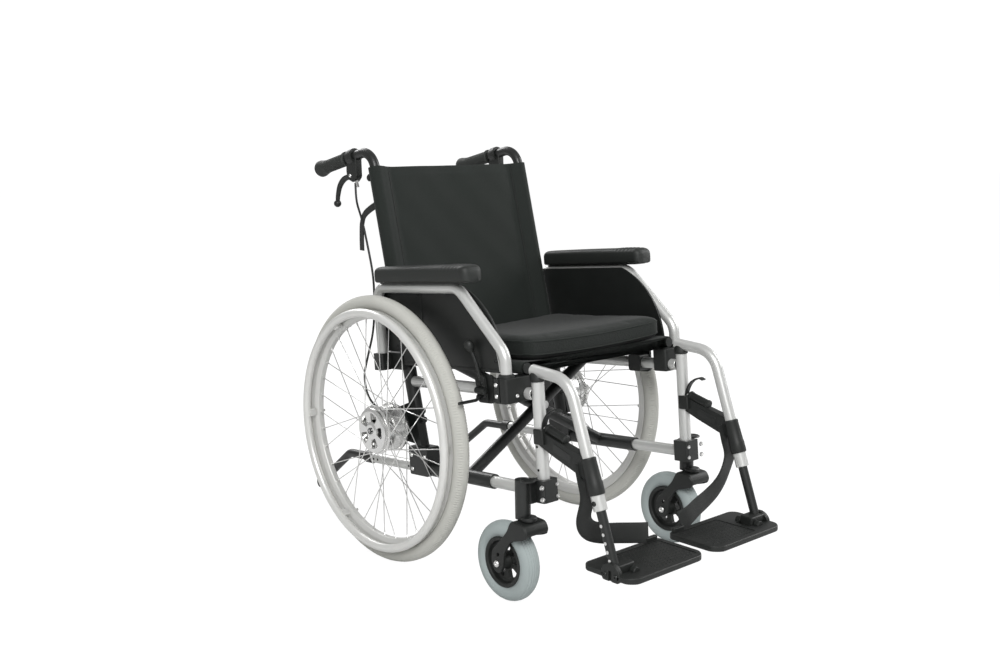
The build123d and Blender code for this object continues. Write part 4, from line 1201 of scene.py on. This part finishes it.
def lever_metal():
    """Pivot screw, cable adjuster and its lock nut."""
    pivot = handle(*LEVER_PIVOT)
    down = Vector((0, -0.35, -1)).normalized()
    adjuster = handle(67, -72)
    return join(
        bolt(pivot - X_AXIS * 8.8, -X_AXIS, 4.6, 2.4), bolt(pivot + X_AXIS * 8.8, X_AXIS, 4.6, 2.4),
        turned(adjuster, down, [(0, 4.8), (4, 4.8), (4.5, 3.4), (15, 3.4), (16, 2.7)], 6),
    )


def brake_lever():
    """Curved lever with a ball end."""
    path = eased([handle(74, -59), handle(92, -62), handle(118, -68), handle(138, -84),
                  handle(148, -106), handle(*LEVER_BALL)], 7)
    blade = sweep(path, lambda t: 8.5 - 3.5 * t, 20, 0.52)
    ball_r = 9
    ball = [(ball_r - ball_r * cos(radians(a)), ball_r * sin(radians(a))) for a in range(20, 181, 20)]
    return join(blade, turned(handle(*LEVER_BALL) + Z_AXIS * ball_r, -Z_AXIS, ball, 28))


def hanging_strap():
    """Short strap tied to the right-hand back tube, and its length in metres."""
    tube = on_back_tube(806)
    path = eased([tube + Vector((6, 13.5, 4)), tube + Vector((-3, 17, 0)), at(RIGHT - 10, 128, 786),
                  at(RIGHT - 15, 136, 764), at(RIGHT - 15, 140, 730), at(RIGHT - 14, 142, 699)], 6)
    length = sum((b - a).length for a, b in zip(path, path[1:])) * MM
    return strap(path, -X_AXIS, 17, 2.6, 0.1), length


def cane_knob():
    """Snap knob screwed into the tube."""
    profile = [(0, 5), (7, 5), (8, 8), (13, 8.6), (16, 6)]
    return turned(on_back_tube(868) + Vector((-3, 8, 0)), Vector((-0.35, 1, 0)), profile, 26)


def parking_handle():
    """Bent lever rod with its teardrop knob, and the cranked rod that presses the tyre."""
    low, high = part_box("right_parking_brake")
    pin = tilted(0, *PARKING_PIN)
    x = -247.0
    knob = Vector((x - 16, pin.y + 22, pin.z + 78))
    rod = bent([Vector((x - 3.5, pin.y + 3, pin.z + 6)), Vector((x - 9, pin.y + 8, pin.z + 40)), knob], 30)
    shoe = bent([Vector((x - 3.5, pin.y + 4, pin.z - 8)), Vector((x - 3.5, pin.y + 2, pin.z - 26)),
                 Vector((x - 18, pin.y + 2, pin.z - 34)), Vector((WHEEL_X - 13, pin.y + 2, pin.z - 34))], 6)
    plate_low = plate(rounded([(-14, -14), (14, -14), (14, 14), (4, 20), (-10, 16)], 7), x - 6.5, 6, 1,
                      lambda u, v, w: Vector((u, pin.y + v, pin.z + w)))
    head = knob + (knob - rod[-2]).normalized() * 12
    ball = turned(knob - (head - knob) * 1.2, head - knob,
                  [(0, 3.6), (3, 6), (9, 9.5), (16, 11), (22, 10), (26, 6.5), (28, 2)], 32)
    return join(sweep(rod, 3.6, 14), sweep(shoe, 3.5, 14), plate_low), ball


def parking_mount():
    """Pressed links, bolts and spring barrel of the parking brake."""
    links = [plate(rounded([(-352, 384), (-318, 384), (-312, 436), (-346, 438)], 8), -251 + k, 3, 0.8, tilted)
             for k in (0, 6.5)]
    bolts = [bolt(tilted(-251, a, n), -X_AXIS, 6.5, 3.6) for a, n in (PARKING_PIN, (-340, 398), (-322, 392))]
    barrel = turned(tilted(-256, -352, 406), Y_AXIS, [(0, 5), (1, 7), (30, 7), (31, 5)], 24)
    return join(*links, *bolts, barrel)


def build_handles(kit):
    """Grips, brake levers, strap, knob and parking brakes."""
    make_pair("grip_rubber", push_grip(), "grip", "frame", ["push_grip"], crease=60)
    make_pair("lever_clamp", lever_clamp(), "plastic", "frame", ["brake_lever_bracket"])
    make_pair("lever_metal", lever_metal(), "steel", "frame")
    make_pair("lever_blade", brake_lever(), "plastic", "hand_lever", ["brake_lever"])
    shape, length = hanging_strap()
    made = make("cane_strap", shape, "webbing", "right_frame")
    make("cane_knob", cane_knob(), "plastic", "right_frame")
    rods, ball = parking_handle()
    make_pair("parking_rods", rods, "coat", "parking", ["parking_lever"])
    make_pair("parking_knob", ball, "plastic", "parking")
    make_pair("parking_links", parking_mount(), "coat", "frame")


# ---- Seat and back ---------------------------------------------------------------------------
RAIL_X = 219.0
SAG = 11.0  # how far the sling's middle hangs
SEAT_A = (-440.0, -72.0)
CUSHION_N = (470.6, 519.0)
CUSHION_HALF = 217.0


def sling_drop(x):
    """How far the sling hangs below its rails at x."""
    return SAG * (1 - min(1.0, abs(x) / RAIL_X) ** 2)


def seat_sling():
    """Sheet that hangs between the rails and wraps round them."""
    section = []
    for a in range(-70, 91, 10):  # round the right-hand rail, from underneath to its top
        turn = radians(a)
        section.append((-RAIL_X - 12.2 * cos(turn), 456 + 12.2 * sin(turn)))
    section += [(x, 468.2 - sling_drop(x)) for x in range(-210, 211, 12)]
    section += [(-x, n) for x, n in reversed(section[:17])]
    rings = []
    for k in range(41):
        a = SEAT_A[0] + (SEAT_A[1] - SEAT_A[0]) * k / 40
        hem = 0.5 if k in (1, 2, 38, 39) else 0.0
        top = [tilted(x, a, n + 0.9 + hem) for x, n in section]
        low = [tilted(x, a, n - 0.9 - hem) for x, n in reversed(section)]
        rings.append(top + low)
    return skin(rings, False, True)


def puffed(shape, voxel, pressure, cap, frames=20):
    """Swell a closed shape by cloth simulation, and keep each point within a cap."""
    soft = temporary(([p * MM for p in shape[0]], shape[1]))
    remesh = soft.modifiers.new("even", "REMESH")
    remesh.mode, remesh.voxel_size = "VOXEL", voxel * MM
    even = taken(soft)
    soft = temporary(even)
    start = [v.co.copy() for v in soft.data.vertices]
    cloth_work = soft.modifiers.new("swell", "CLOTH")
    cloth_work.settings.use_pressure = True
    cloth_work.settings.uniform_pressure_force = pressure
    cloth_work.settings.effector_weights.gravity = 0
    scene = bpy.context.scene
    for k in range(1, frames + 1):
        scene.frame_set(k)
    points, faces = taken(soft)
    scene.frame_set(1)
    out = []
    for before, after in zip(start, points):
        move = after - before
        if move.length > cap * MM:
            move = move.normalized() * cap * MM
        out.append((before + move) / MM)
    return out, faces


def subdivided(shape, levels=1):
    """The shape after smooth subdivision."""
    soft = temporary(shape)
    smooth = soft.modifiers.new("smooth", "SUBSURF")
    smooth.levels = smooth.render_levels = levels
    return taken(soft)


def cushion_shape():
    """Box cushion: swollen by simulation, then hollowed to lie on the sagging sling."""
    low, high = CUSHION_N[0] + 4, CUSHION_N[1] - 5
    outline = rounded([(-CUSHION_HALF + 4, SEAT_A[0] + 5), (CUSHION_HALF - 4, SEAT_A[0] + 5),
                       (CUSHION_HALF - 4, SEAT_A[1] - 5), (-CUSHION_HALF + 4, SEAT_A[1] - 5)], 22, 6)
    shape = slab(outline, lambda u, v, w: Vector((u, v, low + w)), high - low, 7)
    shape = subdivided(puffed(shape, 6, 4.0, 6.5))
    points = []
    for p in shape[0]:
        low_share = min(1.0, max(0.0, (CUSHION_N[1] - p.z) / (CUSHION_N[1] - CUSHION_N[0])))
        drop = sling_drop(p.x) * (0.55 + 0.45 * low_share)
        points.append(Vector((p.x, p.y, max(p.z, CUSHION_N[0]) - drop)))
    return points, shape[1]


def edge_piping(shape, n, radius=1.7, inset=4.0):
    """Piping that follows the cushion's edge at one height."""
    tree = BVHTree.FromPolygons([tuple(p) for p in shape[0]], shape[1])
    outline = rounded([(-CUSHION_HALF + inset, SEAT_A[0] + inset), (CUSHION_HALF - inset, SEAT_A[0] + inset),
                       (CUSHION_HALF - inset, SEAT_A[1] - inset), (-CUSHION_HALF + inset, SEAT_A[1] - inset)],
                      24, 8)
    path = []
    for (u, v), (s, t) in zip(outline, [*outline[1:], outline[0]]):
        parts = max(1, round(sqrt((s - u) ** 2 + (t - v) ** 2) / 12))
        for k in range(parts):
            x, a = u + (s - u) * k / parts, v + (t - v) * k / parts
            near = tree.find_nearest(Vector((x * 1.05, a + (a + 256) * 0.05, n - sling_drop(x) * 0.8)))[0]
            path.append(near)
    for _ in range(2):
        path = [(a + 2 * b + c) / 4 for a, b, c in zip([path[-1], *path], path, [*path[1:], path[0]])]
    ways = [(c - a).normalized() for a, c in zip([path[-1], *path], [*path[1:], path[0]])]
    rings = []
    for place, way in zip(path, ways):
        across = way.cross(Z_AXIS).normalized()
        up = across.cross(way)
        turns = [k * pi / 4 for k in range(8)]
        rings.append([place + (across * cos(t) + up * sin(t)) * radius for t in turns])
    return skin(rings, True, False)


def in_frame(shape):
    """Points given as (x, a, n) put in place."""
    return [tilted(*p) for p in shape[0]], shape[1]


BACK_HALF = 203.0  # where the cloth goes into its sleeves


def cloth_swell(height):
    """Hems are thinner than the padded middle."""
    return 0.35 if height < 0.012 or height > 0.988 else (0.75 if height < 0.03 or height > 0.97 else 1.0)


def middle_section(height):
    """Cross-section of the back between its sleeves: (across, out of the front)."""
    bow = 9 * sin(pi * height) + 3
    swell = cloth_swell(height)
    front, rear = [], []
    for k in range(-30, 31):
        x = 176 * k / 30
        flat = 1 - (abs(x) / 176) ** 6
        sag = -bow * (1 - (x / 200) ** 2)
        wrinkle = 1.1 * sin(x / 23 + 9 * height) * sin(5 + 14 * height + x / 61)
        front.append((x, sag + (3 + 4.5 * flat) * swell + wrinkle))
        rear.append((x, sag - 3.5 * swell + wrinkle))
    side = [(x, out * (0.8 + 0.2 * swell)) for x, out in
            ((180, 1.2), (184, 2.4), (190, 3.6), (198, 6.5), (BACK_HALF, 8.2))]
    half = side + [(x, -v) for x, v in reversed(side)]
    return front + half + rear[::-1] + [(-x, v) for x, v in reversed(half)]


def sleeve_section(height):
    """Cross-section of the right-hand sleeve, round the tube with a stitched flange."""
    shrink = 0.8 + 0.2 * cloth_swell(height)
    round_tube = [(222 + 16.2 * sin(radians(a)), 16.2 * cos(radians(a))) for a in range(-40, 221, 20)]
    flange = [(191, 4.6 * shrink), (197, 6.9 * shrink), (205, 10.9)]
    loop = flange + round_tube + [(x, -v) for x, v in reversed(flange)]
    return [(-x, v) for x, v in reversed(loop)]


def back_cloth(section, rows=72):
    """Cloth of the back, drawn as one section after another up its height."""
    rings = []
    for k in range(rows + 1):
        t = k / rows
        level = BACK_LOW + BACK_UP * (BACK_TALL * t)
        rings.append([level + X_AXIS * x + BACK_OUT * v for x, v in section(t)])
    return skin(rings, False, True)


def back_seams():
    """Stitch lines down both sleeves and along the hems."""
    lines = []
    for sign in (-1, 1):
        foot = BACK_LOW + X_AXIS * sign * 189 + BACK_OUT * 3.9
        path = [foot + BACK_UP * (BACK_TALL * (0.03 + 0.94 * k / 30)) for k in range(31)]
        lines.append(sweep(path, 0.9, 6))
    return join(*lines)


def build_seat(kit):
    """Sling, cushion and piping, which narrow with the fold."""
    sling = make("seat_sheet", seat_sling(), "back", "seat", ["seat_sling"])
    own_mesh(sling)
    shape = cushion_shape()
    cushion = make("seat_pad", in_frame(shape), "seat", "seat_cushion", ["cushion"], crease=80)
    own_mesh(cushion)
    piping = join(edge_piping(shape, CUSHION_N[1] - 7), edge_piping(shape, CUSHION_N[0] + 6))
    trim = make("cushion_piping", in_frame(piping), "back", "seat_cushion")
    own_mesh(trim)


def build_back(kit):
    """Cloth between the tubes, its seams, and a sleeve on each tube."""
    back = make("back_panel", back_cloth(middle_section), "back", "right_frame", ["back_upholstery"],
                crease=50)
    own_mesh(back)
    seams = make("back_seams", back_seams(), "webbing", "right_frame")
    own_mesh(seams)
    for sleeve in make_pair("back_sleeve", back_cloth(sleeve_section), "back", "frame", crease=50):
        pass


# ---- Studio ----------------------------------------------------------------------------------
def add_light(name, place, target, size, power):
    """A square lamp that lights the chair and stays out of sight itself."""
    data = bpy.data.lights.new(name, "AREA")
    data.shape, data.size, data.energy = "SQUARE", size, power
    lamp = bpy.data.objects.new(name, data)
    bpy.context.scene.collection.objects.link(lamp)
    lamp.visible_camera = False
    lamp.location = place
    lamp.rotation_euler = (Vector(target) - Vector(place)).to_track_quat("-Z", "Y").to_euler()


def build_stage(kit):
    """Floor, soft light, world and camera."""
    scene = bpy.context.scene
    mesh = bpy.data.meshes.new("studio_floor")
    reach = 40.0
    mesh.from_pydata([(-reach, -reach, 0), (reach, -reach, 0), (reach, reach, 0), (-reach, reach, 0)], [],
                     [(0, 1, 2, 3)])
    paper = floor_paper("floor", kit.floor)
    tree = paper.node_tree
    output = next(n for n in tree.nodes if n.bl_idname == "ShaderNodeOutputMaterial")
    seen_white(tree, output.inputs["Surface"].links[0].from_node, output, 1.16, 0.82)
    mesh.materials.append(paper)
    floor = bpy.data.objects.new("studio_floor", mesh)
    scene.collection.objects.link(floor)
    world = bpy.data.worlds.new("studio")
    world.use_nodes = True
    world.node_tree.nodes["Background"].inputs["Color"].default_value = (1, 1, 1, 1)
    world.node_tree.nodes["Background"].inputs["Strength"].default_value = kit.daylight
    tree = world.node_tree
    output = next(n for n in tree.nodes if n.bl_idname == "ShaderNodeOutputWorld")
    seen_white(tree, tree.nodes["Background"], output, 1.05, 1.0)
    scene.world = world
    add_light("key", (-2.6, -3.2, 3.4), (0, 0, 0.4), 2.4, kit.key_power)
    add_light("fill", (3.4, -1.2, 2.2), (0, 0, 0.5), 2.0, kit.key_power * 0.35)
    add_light("rim_light", (0.5, 3.6, 3.0), (0, 0, 0.6), 2.0, kit.key_power * 0.4)
    camera = bpy.data.cameras.new("camera")
    camera.lens, camera.sensor_width, camera.clip_end = kit.lens, 36.0, 200.0
    viewer = bpy.data.objects.new("camera", camera)
    scene.collection.objects.link(viewer)
    yaw, pitch, roll = radians(-41.07), radians(-8.99), radians(-0.97)
    ahead = Vector((-sin(yaw) * cos(pitch), cos(yaw) * cos(pitch), sin(pitch)))
    level = Vector((cos(yaw), sin(yaw), 0))
    upright = level.cross(ahead)
    across = level * cos(roll) + upright * sin(roll)
    up = upright * cos(roll) - level * sin(roll)
    turn = Matrix((across, up, -ahead)).transposed().to_4x4()
    viewer.matrix_world = Matrix.Translation((-1.73575, -1.91485, 0.91522)) @ turn
    scene.camera = viewer
    scene.view_settings.view_transform = "Standard"


# ---- Add-on ----------------------------------------------------------------------------------
def colour(name, description, value):
    """A colour property."""
    return bpy.props.FloatVectorProperty(name=name, description=description, default=value,
                                         subtype="COLOR", size=3, min=0, max=1)


class WheelchairKit(bpy.types.PropertyGroup):
    """Sizes and colours that a user may change."""

    spokes: bpy.props.IntProperty(name="Spokes", description="Spokes in each rear wheel", default=36, min=12)
    silver: colour("Silver", "Lacquer of the frame tubes", (0.62, 0.625, 0.61))
    rim: colour("Rim", "Rims and handrims", (0.64, 0.64, 0.62))
    hub: colour("Hub", "Polished hubs and screws", (0.78, 0.78, 0.77))
    black: colour("Black", "Powder coat and panels", (0.008, 0.0092, 0.0085))
    plastic: colour("Plastic", "Moulded black parts", (0.0085, 0.0098, 0.0088))
    grip: colour("Grip", "Push grips", (0.02, 0.0225, 0.0205))
    pad: colour("Pad", "Armrest pads", (0.013, 0.0152, 0.0135))
    cloth: colour("Cloth", "Back, seat sling and cushion", (0.0095, 0.013, 0.0108))
    tyre: colour("Tyre", "Rear tyres", (0.49, 0.49, 0.455))
    castor: colour("Castor", "Castor tyres", (0.33, 0.375, 0.372))
    floor: colour("Floor", "Studio floor", (0.72, 0.72, 0.72))
    lens: bpy.props.FloatProperty(name="Lens", description="Focal length", default=40.66, unit="CAMERA")
    daylight: bpy.props.FloatProperty(name="Daylight", description="Strength of the world's light",
                                      default=0.42)
    key_power: bpy.props.FloatProperty(name="Key light", description="Power of the main lamp in watts",
                                       default=190.0)


def step(idname, label, doc, work):
    """An operator that runs one build function."""
    def execute(self, context):
        work(context.scene.wheelchair)
        return {"FINISHED"}

    name = "WHEELCHAIR_OT_" + idname.split(".")[1]
    return type(name, (bpy.types.Operator,),
                {"bl_idname": idname, "bl_label": label, "__doc__": doc, "execute": execute})


STEPS = [
    step("wheelchair.stage", "Studio", "Make the floor, lights, world and camera", build_stage),
    step("wheelchair.finishes", "Finishes", "Make the materials and paint the carried frame", make_finishes),
    step("wheelchair.rear_wheels", "Rear wheels", "Make tyres, rims, spokes, handrims and hubs",
         build_rear_wheels),
    step("wheelchair.castors", "Castors", "Make castor tyres, centres and forks", build_castors),
    step("wheelchair.side_frames", "Side frames", "Make frame tubes, sockets and screws", build_side_frames),
    step("wheelchair.legrests", "Legrests", "Make hangers, footplates and heel straps", build_legrests),
    step("wheelchair.armrests", "Armrests", "Make arm pads and side panels", build_armrests),
    step("wheelchair.handles", "Handles and brakes", "Make grips, levers and brakes", build_handles),
    step("wheelchair.seat", "Seat", "Make the sling and the cushion", build_seat),
    step("wheelchair.back", "Back", "Make the back upholstery", build_back),
]


class WHEELCHAIR_PT_panel(bpy.types.Panel):
    """Lists the build steps and the kit's sizes and colours"""

    bl_label, bl_idname = "Wheelchair", "WHEELCHAIR_PT_panel"
    bl_space_type, bl_region_type, bl_category = "VIEW_3D", "UI", "Wheelchair"

    def draw(self, context):
        for key in WheelchairKit.__annotations__:
            self.layout.prop(context.scene.wheelchair, key)
        for each in STEPS:
            self.layout.operator(each.bl_idname)


CLASSES = [WheelchairKit, *STEPS, WHEELCHAIR_PT_panel]


def register():
    """Register the classes and the kit."""
    for each in CLASSES:
        bpy.utils.register_class(each)
    bpy.types.Scene.wheelchair = bpy.props.PointerProperty(type=WheelchairKit)


def unregister():
    """Undo register()."""
    del bpy.types.Scene.wheelchair
    for each in reversed(CLASSES):
        bpy.utils.unregister_class(each)


def main():
    """Build everything in order and note both boxes."""
    register()
    for each in STEPS:
        getattr(bpy.ops.wheelchair, each.bl_idname.split(".")[1])()


if __name__ == "__main__":
    main()
